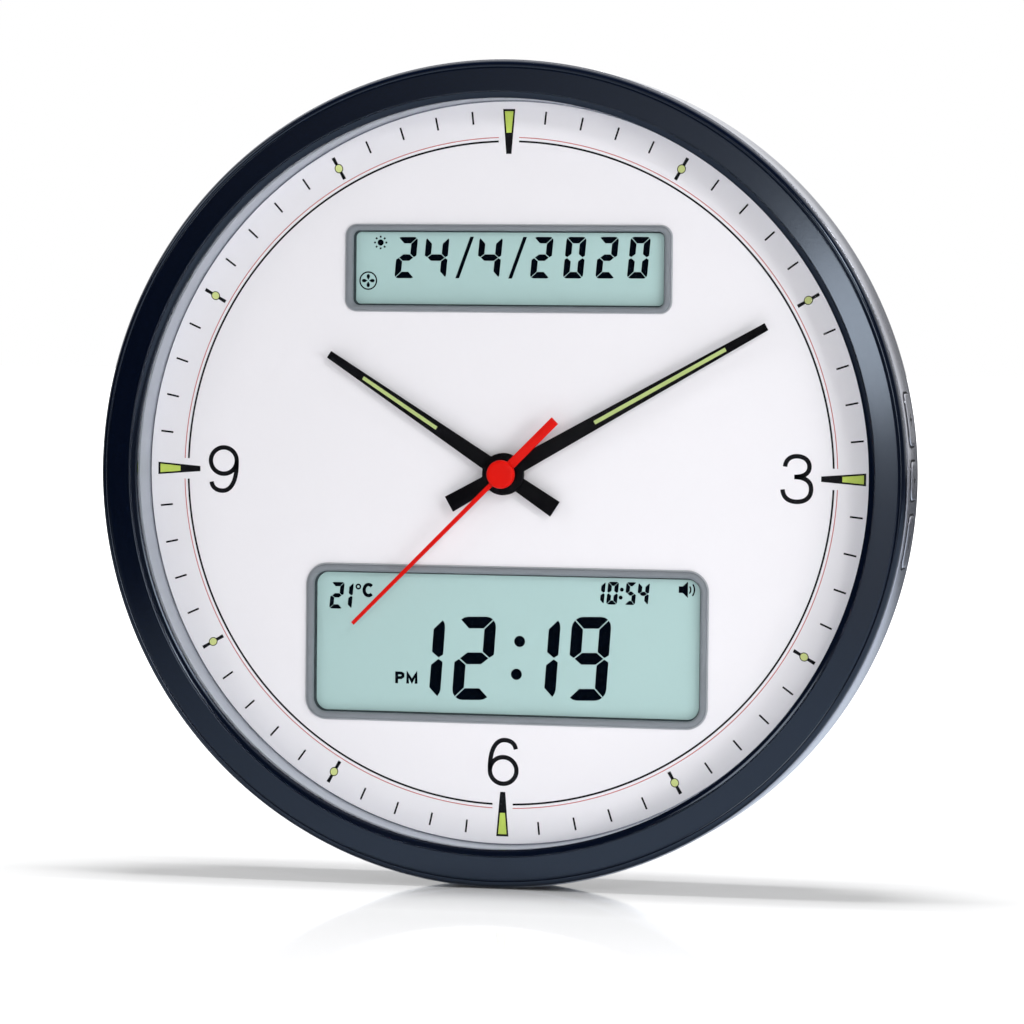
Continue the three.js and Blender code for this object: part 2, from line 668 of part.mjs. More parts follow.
// A grooved post that holds one end of the switch board; side is 1 above the buttons and -1 below
function switchPost(side) {
  const start = SWITCH_BOARD_LENGTH / 2 - POST_WALL;
  const end = start + POST_LENGTH;
  const top = BEZEL_SKIRT_TIP - SWITCH_BOARD_TOP_GAP;
  const low = [SWITCH_BOARD_BACK - GAP - POST_WALL, Math.min(side * start, side * end), FLOOR_FRONT - GAP];
  const high = [SWITCH_BOARD_FRONT + GAP + POST_WALL, Math.max(side * start, side * end), top];
  const grooveEnd = SWITCH_BOARD_LENGTH / 2 + GAP;
  const grooveStart = start - OVERRUN;
  const grooveLow = [
    SWITCH_BOARD_BACK - GAP,
    Math.min(side * grooveStart, side * grooveEnd),
    FLOOR_FRONT,
  ];
  const grooveHigh = [
    SWITCH_BOARD_FRONT + GAP,
    Math.max(side * grooveStart, side * grooveEnd),
    top + OVERRUN,
  ];
  return cut(block(low, high), block(grooveLow, grooveHigh));
}

// Case body: the side band and the floor behind the dial in one moulding
function caseBody() {
  const shell = turned([
    [0, FLOOR_BACK],
    [CASE_INNER_RADIUS, FLOOR_BACK],
    [CASE_INNER_RADIUS, CASE_REAR],
    [CASE_RADIUS - CASE_REAR_ROUND, CASE_REAR],
    [CASE_RADIUS, CASE_REAR + CASE_REAR_ROUND],
    [CASE_RADIUS, CASE_FRONT],
    [CASE_INNER_RADIUS, CASE_FRONT],
    [CASE_INNER_RADIUS, FLOOR_FRONT],
    [0, FLOOR_FRONT],
  ]);
  const through = [FLOOR_BACK - OVERRUN, FLOOR_FRONT + OVERRUN];
  const cellOpenings = [UPPER, LOWER].map((size) => {
    const width = size.windowWidth + 2 * (CELL_MARGIN + GAP);
    const height = size.windowHeight + 2 * (CELL_MARGIN + GAP);
    return prism(roundedRect(size.x, size.y, width, height, CELL_CORNER + GAP), ...through);
  });
  const bore = rod(0, 0, BUSH_RADIUS + GAP, ...through);
  const notchEnd = SWITCH_BOARD_LENGTH / 2 - POST_WALL - GAP;
  const notch = common(
    block([SWITCH_BOARD_BACK, -notchEnd, through[0]], [CASE_RADIUS, notchEnd, through[1]]),
    disk(CASE_INNER_RADIUS, ...through),
  );
  const slots = BUTTONS.map((button) =>
    sidePrism(buttonShape(button, GAP), SWITCH_BOARD_BACK, CASE_RADIUS + OVERRUN),
  );
  const opened = cut(shell, ...cellOpenings, bore, notch, ...slots);
  const stakes = [UPPER, LOWER].flatMap(stakePlaces).map(stake);
  return join(opened, ...screwPlaces().map(boss), ...stakes, switchPost(1), switchPost(-1));
}

// Cap of a side button: the skin follows the band, and a flange behind the slot keeps it in
function buttonCap(button) {
  const reach = [SWITCH_BACK, CASE_RADIUS + OVERRUN];
  const deep = [BUTTON_DEPTH - BUTTON_WIDTH, BUTTON_DEPTH + BUTTON_WIDTH];
  const skinRing = tube(FLANGE_INNER_RADIUS, CASE_RADIUS + BUTTON_PROUD, ...deep);
  const flangeRing = tube(FLANGE_INNER_RADIUS, FLANGE_OUTER_RADIUS, ...deep);
  const skin = common(sidePrism(buttonShape(button, 0), ...reach), skinRing);
  const flange = common(sidePrism(buttonShape(button, BUTTON_FLANGE), ...reach), flangeRing);
  const stem = rod(0, 0, STEM_RADIUS, STEM_TIP, FLANGE_OUTER_RADIUS - BUTTON_FLANGE_THICKNESS / 2);
  stem.applyMatrix4(SIDEWAYS);
  stem.translate(0, button.y, BUTTON_DEPTH);
  return join(skin, flange, stem);
}

function switchBody(button) {
  const outline = roundedRect(button.y, BUTTON_DEPTH, SWITCH_SIZE, SWITCH_SIZE, SWITCH_CORNER);
  const body = sidePrism(outline, SWITCH_BACK, SWITCH_FRONT, 1);
  const bore = rod(0, 0, STEM_RADIUS + GAP, SWITCH_FRONT - SWITCH_BORE_DEPTH, SWITCH_FRONT + OVERRUN);
  bore.applyMatrix4(SIDEWAYS);
  bore.translate(0, button.y, BUTTON_DEPTH);
  return cut(body, bore);
}

function switchBoard() {
  const half = SWITCH_BOARD_LENGTH / 2;
  const top = BEZEL_SKIRT_TIP - SWITCH_BOARD_TOP_GAP;
  return block([SWITCH_BOARD_BACK, -half, FLOOR_FRONT + GAP], [SWITCH_BOARD_FRONT, half, top]);
}

// Outline of the keyhole: a round hole for the screw's head and a slot upwards for its shank
function keyhole(margin) {
  const radius = KEYHOLE_HEAD_RADIUS + margin;
  const half = KEYHOLE_SLOT_WIDTH / 2 + margin;
  const open = Math.asin(half / radius);
  const shape = new THREE.Shape();
  shape.absarc(0, HANGER_Y, radius, Math.PI / 2 + open, Math.PI / 2 - open + 2 * Math.PI);
  shape.absarc(0, HANGER_Y + KEYHOLE_SLOT_RISE, half, 0, Math.PI);
  shape.closePath();
  return shape;
}

function pegPlaces() {
  const dx = HANGER_WIDTH / 2 - PEG_INSET;
  const dy = HANGER_HEIGHT / 2 - PEG_INSET;
  const middle = HANGER_Y + KEYHOLE_SLOT_RISE / 2;
  return [[dx, middle + dy], [-dx, middle + dy], [-dx, middle - dy], [dx, middle - dy]];
}

function hangerPlate() {
  const middle = HANGER_Y + KEYHOLE_SLOT_RISE / 2;
  const outline = roundedRect(0, middle, HANGER_WIDTH, HANGER_HEIGHT, HANGER_CORNER);
  const front = COVER_WALL + HANGER_THICKNESS;
  const plate = prism(outline, COVER_WALL, front);
  const hole = prism(keyhole(0), -OVERRUN, front + OVERRUN, CORNER_STEPS * 2);
  const pegHoles = pegPlaces().map(([x, y]) =>
    rod(x, y, PEG_RADIUS + GAP, COVER_WALL - OVERRUN, front + OVERRUN, STAKE_SIDES),
  );
  return cut(plate, hole, ...pegHoles);
}

function grilleSlots() {
  const slots = [];
  for (let i = 0; i < GRILLE_SLOTS; i += 1) {
    const offset = (i - (GRILLE_SLOTS - 1) / 2) * GRILLE_PITCH;
    const length = 2 * Math.sqrt(GRILLE_RADIUS ** 2 - offset ** 2);
    const corner = GRILLE_SLOT_WIDTH * GRILLE_CORNER_SHARE;
    const outline = roundedRect(SPEAKER_X + offset, SPEAKER_Y, GRILLE_SLOT_WIDTH, length, corner);
    slots.push(prism(outline, -OVERRUN, COVER_WALL + OVERRUN, 1));
  }
  return slots;
}

function gusset(turn) {
  const wallMiddle = COVER_WALL / 2;
  const web = polygon([
    [COVER_FLAT_RADIUS - GUSSET_RUN, wallMiddle],
    [COVER_FLAT_RADIUS + wallMiddle, wallMiddle],
    [COVER_TUB_RADIUS - wallMiddle / 2, COVER_TUB_RISE],
    [COVER_TUB_RADIUS - COVER_WALL - wallMiddle, COVER_TUB_RISE],
  ]);
  const body = new THREE.ExtrudeGeometry(web, { depth: GUSSET_THICKNESS, bevelEnabled: false });
  body.translate(0, 0, -GUSSET_THICKNESS / 2);
  body.rotateX(Math.PI / 2);
  body.rotateZ(turn);
  return body;
}

function bayLimits(margin) {
  const dx = BAY_INNER_WIDTH / 2 + margin;
  const dy = BAY_INNER_LENGTH / 2 + margin;
  return { left: BAY_X - dx, right: BAY_X + dx, bottom: BAY_Y - dy, top: BAY_Y + dy };
}

function bayShape(margin, corner) {
  const width = BAY_INNER_WIDTH + 2 * margin;
  const length = BAY_INNER_LENGTH + 2 * margin;
  return roundedRect(BAY_X, BAY_Y, width, length, corner);
}

function bayRibs() {
  const { bottom, top } = bayLimits(0);
  const rise = [BAY_DEPTH - BAY_RIB_HEIGHT, BAY_DEPTH + BAY_WALL / 2];
  const ribs = [];
  for (let i = 0; i < CELL_COUNT - 1; i += 1) {
    const x = BAY_X + (i + 1 - CELL_COUNT / 2) * CELL_PITCH;
    const half = BAY_RIB_THICKNESS / 2;
    const inset = SPRING_ROOM + CONTACT_THICKNESS + GAP;
    ribs.push(block([x - half, bottom + inset, rise[0]], [x + half, top - inset, rise[1]]));
  }
  return ribs;
}

// Back cover: a tub whose floor has the grille, the keyhole, the knob's hole and the battery bay
function backCover() {
  const slope = COVER_WALL / 2;
  const tub = turned([
    [0, 0],
    [COVER_FLAT_RADIUS, 0],
    [COVER_FLAT_RADIUS + COVER_ROUND, COVER_ROUND_RISE],
    [COVER_TUB_RADIUS, COVER_TUB_RISE],
    [COVER_FLANGE_INNER_RADIUS, COVER_FLANGE_BACK],
    [CASE_INNER_RADIUS - GAP, COVER_FLANGE_BACK],
    [CASE_INNER_RADIUS - GAP, COVER_FLANGE_FRONT],
    [COVER_FLANGE_INNER_RADIUS - slope, COVER_FLANGE_FRONT],
    [COVER_TUB_RADIUS - COVER_WALL, COVER_TUB_RISE + slope],
    [COVER_FLAT_RADIUS, COVER_WALL + COVER_ROUND_RISE],
    [COVER_FLAT_RADIUS - slope, COVER_WALL],
    [0, COVER_WALL],
  ]);
  const outerRadius = SPEAKER_RADIUS + GAP + COLLAR_WALL;
  const collar = tube(SPEAKER_RADIUS + GAP, outerRadius, slope, COVER_WALL + COLLAR_HEIGHT, SPEAKER_SIDES);
  collar.translate(SPEAKER_X, SPEAKER_Y, 0);
  const knobTop = COVER_WALL + KNOB_COLLAR_HEIGHT;
  const knobCollar = rod(KNOB_X, KNOB_Y, KNOB_HOLE_RADIUS + KNOB_COLLAR_WALL, slope, knobTop);
  const pegTop = COVER_WALL + PEG_HEIGHT;
  const pegs = pegPlaces().map(([x, y]) => rod(x, y, PEG_RADIUS, slope, pegTop, STAKE_SIDES));
  const bay = prism(bayShape(BAY_WALL, BAY_CORNER + BAY_WALL), 0, BAY_DEPTH + BAY_WALL);
  const gussets = around(GUSSET_COUNT, GUSSET_FIRST_ANGLE).map(gusset);
  const whole = join(tub, collar, knobCollar, ...pegs, ...gussets, bay);
  const keyholeCut = prism(keyhole(KEYHOLE_MARGIN), -OVERRUN, COVER_WALL + OVERRUN, CORNER_STEPS * 2);
  const knobCut = rod(KNOB_X, KNOB_Y, KNOB_HOLE_RADIUS, -OVERRUN, knobTop + OVERRUN);
  const flangeThrough = [COVER_FLANGE_BACK - OVERRUN, COVER_FLANGE_FRONT + OVERRUN];
  const screwCuts = screwPlaces().map(([x, y]) =>
    rod(x, y, SCREW_SHANK_RADIUS + GAP, ...flangeThrough, STAKE_SIDES),
  );
  const bayCut = prism(bayShape(0, BAY_CORNER), -OVERRUN, BAY_DEPTH);
  const rebateDepth = GAP + DOOR_THICKNESS + GAP;
  const rebate = prism(bayShape(DOOR_MARGIN, DOOR_CORNER), -OVERRUN, rebateDepth);
  const opened = cut(whole, keyholeCut, knobCut, ...grilleSlots(), ...screwCuts, bayCut, rebate);
  return join(opened, ...bayRibs());
}

// Battery door: a plate in the rebate, finger grooves outside and two ribs that locate it inside
function batteryDoor() {
  const back = GAP;
  const front = GAP + DOOR_THICKNESS;
  const { left, right, bottom, top } = bayLimits(-GAP);
  const plate = prism(bayShape(DOOR_MARGIN - GAP, DOOR_CORNER - GAP), back, front);
  const ribFront = front + DOOR_RIB_HEIGHT;
  const ribBack = front - DOOR_THICKNESS / 2;
  const inset = BAY_CORNER;
  const ribs = [
    block([left + inset, top - DOOR_RIB_THICKNESS, ribBack], [right - inset, top, ribFront]),
    block([left + inset, bottom, ribBack], [right - inset, bottom + DOOR_RIB_THICKNESS, ribFront]),
  ];
  const grooves = [];
  for (let i = 0; i < DOOR_GRIP_COUNT; i += 1) {
    const y = top - DOOR_GRIP_INSET - i * DOOR_GRIP_PITCH;
    const low = [BAY_X - DOOR_GRIP_LENGTH / 2, y - DOOR_GRIP_WIDTH / 2, back - OVERRUN];
    const high = [BAY_X + DOOR_GRIP_LENGTH / 2, y + DOOR_GRIP_WIDTH / 2, back + DOOR_GRIP_DEPTH];
    grooves.push(block(low, high));
  }
  return cut(join(plate, ...ribs), ...grooves);
}

function cellX(index) {
  return BAY_X + (index - (CELL_COUNT - 1) / 2) * CELL_PITCH;
}

// Every second cell is turned round, and its nub then points down
function cellUp(index) {
  return index % 2 === 0;
}

function batteryCell(index) {
  const { bottom } = bayLimits(0);
  const cell = turned(
    [
      [0, 0],
      [CELL_RADIUS - CELL_EDGE, 0],
      [CELL_RADIUS, CELL_EDGE],
      [CELL_RADIUS, CELL_BODY_LENGTH - CELL_EDGE],
      [CELL_RADIUS - CELL_EDGE, CELL_BODY_LENGTH],
      [CELL_NUB_RADIUS, CELL_BODY_LENGTH],
      [CELL_NUB_RADIUS, CELL_BODY_LENGTH + CELL_NUB_LENGTH],
      [0, CELL_BODY_LENGTH + CELL_NUB_LENGTH],
    ],
    SMALL_SIDES,
  );
  cell.rotateX(-Math.PI / 2);
  if (!cellUp(index)) {
    cell.rotateX(Math.PI);
  }
  const springEnd = bottom + GAP + CONTACT_THICKNESS + SPRING_ROOM;
  const start = cellUp(index) ? springEnd : 2 * BAY_Y - springEnd;
  cell.translate(cellX(index), start, CELLS_DEPTH);
  return cell;
}

// A conical spring along +Y as one unbroken wire, its ends closed
function coilSpring(height) {
  const steps = SPRING_TURNS * SPRING_STEPS_PER_TURN;
  const positions = [];
  const corners = [];
  const up = new THREE.Vector3(0, 1, 0);
  for (let i = 0; i <= steps; i += 1) {
    const share = i / steps;
    const turn = 2 * Math.PI * SPRING_TURNS * share;
    const radius = THREE.MathUtils.lerp(SPRING_BASE_RADIUS, SPRING_TIP_RADIUS, share);
    const outward = new THREE.Vector3(Math.cos(turn), 0, Math.sin(turn));
    const centre = outward.clone().multiplyScalar(radius).addScaledVector(up, height * share);
    for (let k = 0; k < SPRING_WIRE_SIDES; k += 1) {
      const roll = (2 * Math.PI * k) / SPRING_WIRE_SIDES;
      const point = centre.clone();
      point.addScaledVector(outward, SPRING_WIRE_RADIUS * Math.cos(roll));
      point.addScaledVector(up, SPRING_WIRE_RADIUS * Math.sin(roll));
      positions.push(point.x, point.y, point.z);
    }
  }
  for (let i = 0; i < steps; i += 1) {
    for (let k = 0; k < SPRING_WIRE_SIDES; k += 1) {
      const a = i * SPRING_WIRE_SIDES + k;
      const b = i * SPRING_WIRE_SIDES + ((k + 1) % SPRING_WIRE_SIDES);
      corners.push(a, b, a + SPRING_WIRE_SIDES);
      corners.push(b, b + SPRING_WIRE_SIDES, a + SPRING_WIRE_SIDES);
    }
  }
  const last = steps * SPRING_WIRE_SIDES;
  for (let k = 1; k < SPRING_WIRE_SIDES - 1; k += 1) {
    corners.push(0, k + 1, k);
    corners.push(last, last + k, last + k + 1);
  }
  const geometry = new THREE.BufferGeometry();
  geometry.setAttribute("position", new THREE.Float32BufferAttribute(positions, 3));
  geometry.setIndex(corners);
  return geometry;
}

// Contact over the cells from first to last, at the bay's top (side 1) or bottom (side -1)
function contact(first, last, side) {
  const half = CONTACT_WIDTH / 2;
  const wallEnd = BAY_INNER_LENGTH / 2 - GAP;
  const face = wallEnd - CONTACT_THICKNESS;
  const depths = [CELLS_DEPTH - CONTACT_HEIGHT / 2, CELLS_DEPTH + CONTACT_HEIGHT / 2];
  const left = cellX(first) - half;
  const right = cellX(last) + half;
  const parts = [block([left, face, depths[0]], [right, wallEnd, depths[1]])];
  for (let i = first; i <= last; i += 1) {
    const nubHere = cellUp(i) === side > 0;
    if (nubHere) {
      const dimple = new THREE.CylinderGeometry(
        CONTACT_DIMPLE_RADIUS,
        CONTACT_DIMPLE_RADIUS,
        CONTACT_THICKNESS + CONTACT_DIMPLE_HEIGHT,
        STAKE_SIDES,
      );
      dimple.translate(cellX(i), wallEnd - (CONTACT_THICKNESS + CONTACT_DIMPLE_HEIGHT) / 2, CELLS_DEPTH);
      parts.push(dimple);
    } else {
      const spring = coilSpring(SPRING_ROOM - SPRING_WIRE_RADIUS - GAP);
      spring.rotateZ(Math.PI);
      spring.translate(cellX(i), face, CELLS_DEPTH);
      parts.push(spring);
    }
  }
  const made = geometryOf(join(...parts));
  made.translate(0, -BAY_Y, 0);
  if (side < 0) {
    made.rotateX(Math.PI);
    made.translate(0, 0, 2 * CELLS_DEPTH);
  }
  made.translate(0, BAY_Y, 0);
  return made;
}

// Speaker: the flange lies on the cover behind the grille, the cone opens towards it
function speakerBasket() {
  const back = COVER_WALL + GAP;
  const flangeFront = back + SPEAKER_FLANGE;
  const end = back + SPEAKER_BASKET_DEPTH;
  const body = turned(
    [
      [SPEAKER_CONE_RADIUS + GAP, back],
      [SPEAKER_RADIUS, back],
      [SPEAKER_RADIUS, flangeFront],
      [SPEAKER_CONE_RADIUS + GAP + SPEAKER_BASKET_WALL, flangeFront],
      [SPEAKER_BASKET_END_RADIUS + SPEAKER_BASKET_WALL, end],
      [SPEAKER_THROAT_RADIUS, end],
      [SPEAKER_THROAT_RADIUS, end - SPEAKER_BASKET_WALL],
      [SPEAKER_BASKET_END_RADIUS, end - SPEAKER_BASKET_WALL],
      [SPEAKER_CONE_RADIUS + GAP, flangeFront],
    ],
    SPEAKER_SIDES,
  );
  body.translate(SPEAKER_X, SPEAKER_Y, 0);
  return body;
}

function speakerCone() {
  const back = COVER_WALL + GAP;
  const throat = back + CONE_DEPTH;
  const body = turned(
    [
      [0, throat - CONE_DOME_RISE],
      [SPEAKER_THROAT_RADIUS, throat],
      [SPEAKER_CONE_RADIUS, back],
      [SPEAKER_CONE_RADIUS, back + CONE_WALL],
      [SPEAKER_THROAT_RADIUS, throat + CONE_WALL],
      [0, throat - CONE_DOME_RISE + CONE_WALL],
    ],
    SPEAKER_SIDES,
  );
  body.translate(SPEAKER_X, SPEAKER_Y, 0);
  return body;
}

function speakerMagnet() {
  const back = COVER_WALL + GAP + SPEAKER_BASKET_DEPTH;
  return rod(SPEAKER_X, SPEAKER_Y, SPEAKER_MAGNET_RADIUS, back, back + SPEAKER_MAGNET_DEPTH, SPEAKER_SIDES);
}

// Movement: a closed box with a lid, the bush through the dial and the bores of its arbors
function movementHousing() {
  const lidSize = MOVEMENT_SIZE - 2 * MOVEMENT_LID_INSET;
  const lidFront = MOVEMENT_BACK + MOVEMENT_LID_DEPTH;
  const lidCorner = MOVEMENT_CORNER - MOVEMENT_LID_INSET;
  const lid = prism(roundedRect(0, 0, lidSize, lidSize, lidCorner), MOVEMENT_BACK, lidFront + GAP);
  const box = prism(roundedRect(0, 0, MOVEMENT_SIZE, MOVEMENT_SIZE, MOVEMENT_CORNER), lidFront, FLOOR_BACK);
  const bush = rod(0, 0, BUSH_RADIUS, FLOOR_BACK - GAP, BUSH_TOP);
  const arborBore = rod(0, 0, BUSH_BORE, ARBOR_FLOOR, BUSH_TOP + OVERRUN);
  const stemBore = rod(
    KNOB_X,
    KNOB_Y,
    KNOB_STEM_RADIUS + GAP,
    MOVEMENT_BACK - OVERRUN,
    MOVEMENT_BACK + KNOB_STEM_DEPTH + GAP,
  );
  return cut(join(lid, box, bush), arborBore, stemBore);
}

function movementNut() {
  const nut = rod(0, 0, NUT_RADIUS, DIAL_FACE, DIAL_FACE + NUT_THICKNESS, 6);
  return cut(nut, rod(0, 0, BUSH_RADIUS + GAP, DIAL_FACE - OVERRUN, BUSH_TOP + OVERRUN));
}

function settingKnob() {
  const back = KNOB_RECESS;
  const front = MOVEMENT_BACK - GAP;
  const points = [];
  for (const turn of around(KNOB_LOBES * 4)) {
    const radius = KNOB_RADIUS - KNOB_GROOVE * (0.5 - 0.5 * Math.cos(KNOB_LOBES * turn));
    points.push([KNOB_X + radius * Math.cos(turn), KNOB_Y + radius * Math.sin(turn)]);
  }
  const grip = prism(polygon(points), back, front);
  const stem = rod(KNOB_X, KNOB_Y, KNOB_STEM_RADIUS, front - GAP, MOVEMENT_BACK + KNOB_STEM_DEPTH);
  return join(grip, stem);
}

// A hand cut from sheet, pointing to +Y, with a round hub and a bore for its tube
function hand(shape, back, thickness, hubRadius, bore) {
  const outline = polygon([
    [shape.tipWidth / 2, shape.length],
    [-shape.tipWidth / 2, shape.length],
    [-shape.rootWidth / 2, 0],
    [-shape.tailRootWidth / 2, 0],
    [-shape.tailWidth / 2, -shape.tailLength],
    [shape.tailWidth / 2, -shape.tailLength],
    [shape.tailRootWidth / 2, 0],
    [shape.rootWidth / 2, 0],
  ]);
  const front = back + thickness;
  const blade = prism(outline, back, front);
  const hub = rod(0, 0, hubRadius, back, front, HUB_SIDES);
  return cut(join(blade, hub), rod(0, 0, bore, back - OVERRUN, front + OVERRUN));
}

function lume(endShare, width, handFront) {
  const start = DIAL_RADIUS * LUME_START_SHARE;
  const end = DIAL_RADIUS * endShare;
  return block([-width / 2, start, handFront], [width / 2, end, handFront + LUME_THICKNESS]);
}

function secondCap() {
  const back = SECOND_HAND_FRONT;
  const front = back + CAP_HEIGHT;
  const profile = [[0, back], [CAP_RADIUS, back]];
  for (let i = 0; i <= CAP_ROUND_STEPS; i += 1) {
    const turn = (Math.PI / 2) * (i / CAP_ROUND_STEPS);
    profile.push([
      CAP_RADIUS - CAP_ROUND + CAP_ROUND * Math.cos(turn),
      front - CAP_ROUND + CAP_ROUND * Math.sin(turn),
    ]);
  }
  profile.push([0, front]);
  const bore = rod(0, 0, SECOND_SHAFT_RADIUS + PRESS_GAP, back - OVERRUN, back + CAP_BORE_DEPTH);
  return cut(turned(profile, HUB_SIDES), bore);
}

function caseScrew() {
  const underHead = COVER_FLANGE_BACK;
  const back = underHead - SCREW_HEAD_HEIGHT;
  const edge = back + SCREW_HEAD_HEIGHT * SCREW_DOME_SHARE;
  const body = turned(
    [
      [0, back],
      [SCREW_HEAD_RADIUS * SCREW_DOME_SHARE, back],
      [SCREW_HEAD_RADIUS, edge],
      [SCREW_HEAD_RADIUS, underHead],
      [SCREW_SHANK_RADIUS, underHead],
      [SCREW_SHANK_RADIUS, underHead + SCREW_SHANK_LENGTH],
      [0, underHead + SCREW_SHANK_LENGTH],
    ],
    STAKE_SIDES,
  );
  const half = SCREW_SLOT_WIDTH / 2;
  const arm = SCREW_SLOT_LENGTH / 2;
  const slotFront = back + SCREW_SLOT_DEPTH;
  return cut(
    body,
    block([-half, -arm, back - OVERRUN], [half, arm, slotFront]),
    block([-arm, -half, back - OVERRUN], [arm, half, slotFront]),
  );
}

// Finishes
const NAVY = finish("#1c2433", 0.3);
const SILVER = finish("#b4b7c0", 0.4, 0.3);
const LIGHT_GREY = finish("#a5abb5", 0.5);
const WHITE = finish("#efeef2", 0.5);
const FRAME_GREY = finish("#868b90", 0.4);
const DISPLAY = finish("#abcdc9", 0.35);
const CLEAR = finish("#f4f7f8", 0.05);
const BLACK = finish("#101114", 0.45);
const RED = finish("#e8331b", 0.4);
const LUME_GREEN = finish("#b6d66a", 0.6);
const BOARD_GREEN = finish("#2f6b45", 0.5);
const DARK_PLASTIC = finish("#23262b", 0.6);
const COVER_GREY = finish("#9a9da6", 0.55);
const BRASS = finish("#c9a551", 0.35, 1);
const STEEL = finish("#b9bcc0", 0.35, 1);
const PAPER = finish("#2a2826", 0.9);
const CELL_SKIN = finish("#3b6ea0", 0.35, 0.4);

// Assembly
const clock = new THREE.Group();

clock.add(
  piece("front_bezel", frontBezel(), NAVY),
  piece("lens", disk(LENS_RADIUS, LENS_BACK, LENS_FRONT), CLEAR),
  piece("inner_ring", tube(BEZEL_LIP_RADIUS, RING_OUTER_RADIUS, FLOOR_FRONT, LENS_BACK - GAP), LIGHT_GREY),
  piece("dial", dial(), WHITE),
  piece("case_body", caseBody(), SILVER),
  piece("back_cover", backCover(), COVER_GREY),
  piece("hanger_plate", hangerPlate(), STEEL),
  piece("battery_door", batteryDoor(), COVER_GREY),
);

for (const [name, size] of [["upper", UPPER], ["lower", LOWER]]) {
  clock.add(
    piece(name + "_display_frame", displayFrame(size), FRAME_GREY),
    piece(name + "_display", displayCell(size), DISPLAY),
    piece(name + "_display_board", displayBoard(size), BOARD_GREEN),
  );
}

for (const button of BUTTONS) {
  clock.add(
    piece("button_" + button.name, buttonCap(button), SILVER),
    piece("switch_" + button.name, switchBody(button), DARK_PLASTIC),
  );
}
clock.add(piece("switch_board", switchBoard(), BOARD_GREEN));

for (let i = 0; i < CELL_COUNT; i += 1) {
  clock.add(piece("battery_" + (i + 1), batteryCell(i), CELL_SKIN));
}
clock.add(
  piece("contact_link_upper", contact(0, 1, 1), STEEL),
  piece("contact_tab_upper", contact(2, 2, 1), STEEL),
  piece("contact_tab_lower", contact(0, 0, -1), STEEL),
  piece("contact_link_lower", contact(1, 2, -1), STEEL),
);

clock.add(
  piece("speaker_basket", speakerBasket(), STEEL),
  piece("speaker_cone", speakerCone(), PAPER),
  piece("speaker_magnet", speakerMagnet(), DARK_PLASTIC),
);

clock.add(
  piece("movement_housing", movementHousing(), DARK_PLASTIC),
  piece("movement_nut", movementNut(), BRASS),
  piece("setting_knob", settingKnob(), DARK_PLASTIC),
);

// Each hand, with its tube and what it carries, turns as one group about the clock's axis
const hourGroup = new THREE.Group();
hourGroup.rotation.z = -THREE.MathUtils.degToRad(HOUR_HAND.angle);
const hourBore = HOUR_TUBE_RADIUS + PRESS_GAP;
const hourTubeTop = HOUR_HAND_FRONT + TUBE_PROUD;
const tubeStart = ARBOR_FLOOR + GAP;
const hourTube = tube(HOUR_TUBE_BORE, HOUR_TUBE_RADIUS, tubeStart, hourTubeTop, SMALL_SIDES);
hourGroup.add(
  piece("hour_hand", hand(HOUR_HAND, HOUR_HAND_BACK, HAND_THICKNESS, HUB_RADIUS, hourBore), BLACK),
  piece("hour_lume", lume(HOUR_LUME_END_SHARE, HOUR_LUME_WIDTH, HOUR_HAND_FRONT), LUME_GREEN),
  piece("hour_tube", hourTube, BRASS),
);

const minuteGroup = new THREE.Group();
minuteGroup.rotation.z = -THREE.MathUtils.degToRad(MINUTE_HAND.angle);
const minuteBore = MINUTE_TUBE_RADIUS + PRESS_GAP;
const minuteTubeTop = MINUTE_HAND_FRONT + TUBE_PROUD;
const minuteTube = tube(MINUTE_TUBE_BORE, MINUTE_TUBE_RADIUS, tubeStart, minuteTubeTop, SMALL_SIDES);
minuteGroup.add(
  piece("minute_hand", hand(MINUTE_HAND, MINUTE_HAND_BACK, HAND_THICKNESS, HUB_RADIUS, minuteBore), BLACK),
  piece("minute_lume", lume(MINUTE_LUME_END_SHARE, MINUTE_LUME_WIDTH, MINUTE_HAND_FRONT), LUME_GREEN),
  piece("minute_tube", minuteTube, BRASS),
);

const secondGroup = new THREE.Group();
secondGroup.rotation.z = -THREE.MathUtils.degToRad(SECOND_HAND.angle);
const secondBore = SECOND_SHAFT_RADIUS + PRESS_GAP;
const shaftTop = SECOND_HAND_FRONT + CAP_BORE_DEPTH - GAP;
secondGroup.add(
  piece(
    "second_hand",
    hand(SECOND_HAND, SECOND_HAND_BACK, SECOND_HAND_THICKNESS, SECOND_HUB_RADIUS, secondBore),
    RED,
  ),
  piece("second_cap", secondCap(), RED),
  piece("second_shaft", rod(0, 0, SECOND_SHAFT_RADIUS, tubeStart, shaftTop), STEEL),
);
clock.add(hourGroup, minuteGroup, secondGroup);

screwPlaces().forEach(([x, y], i) => {
  const screw = piece("case_screw_" + (i + 1), caseScrew(), STEEL);
  screw.position.set(x, y, 0);
  clock.add(screw);
});

clock.rotation.x = Math.PI / 2;

const part = new THREE.Group();
part.add(clock);

export default part;
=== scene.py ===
import math

import bmesh
import bpy
from mathutils import Matrix, Vector


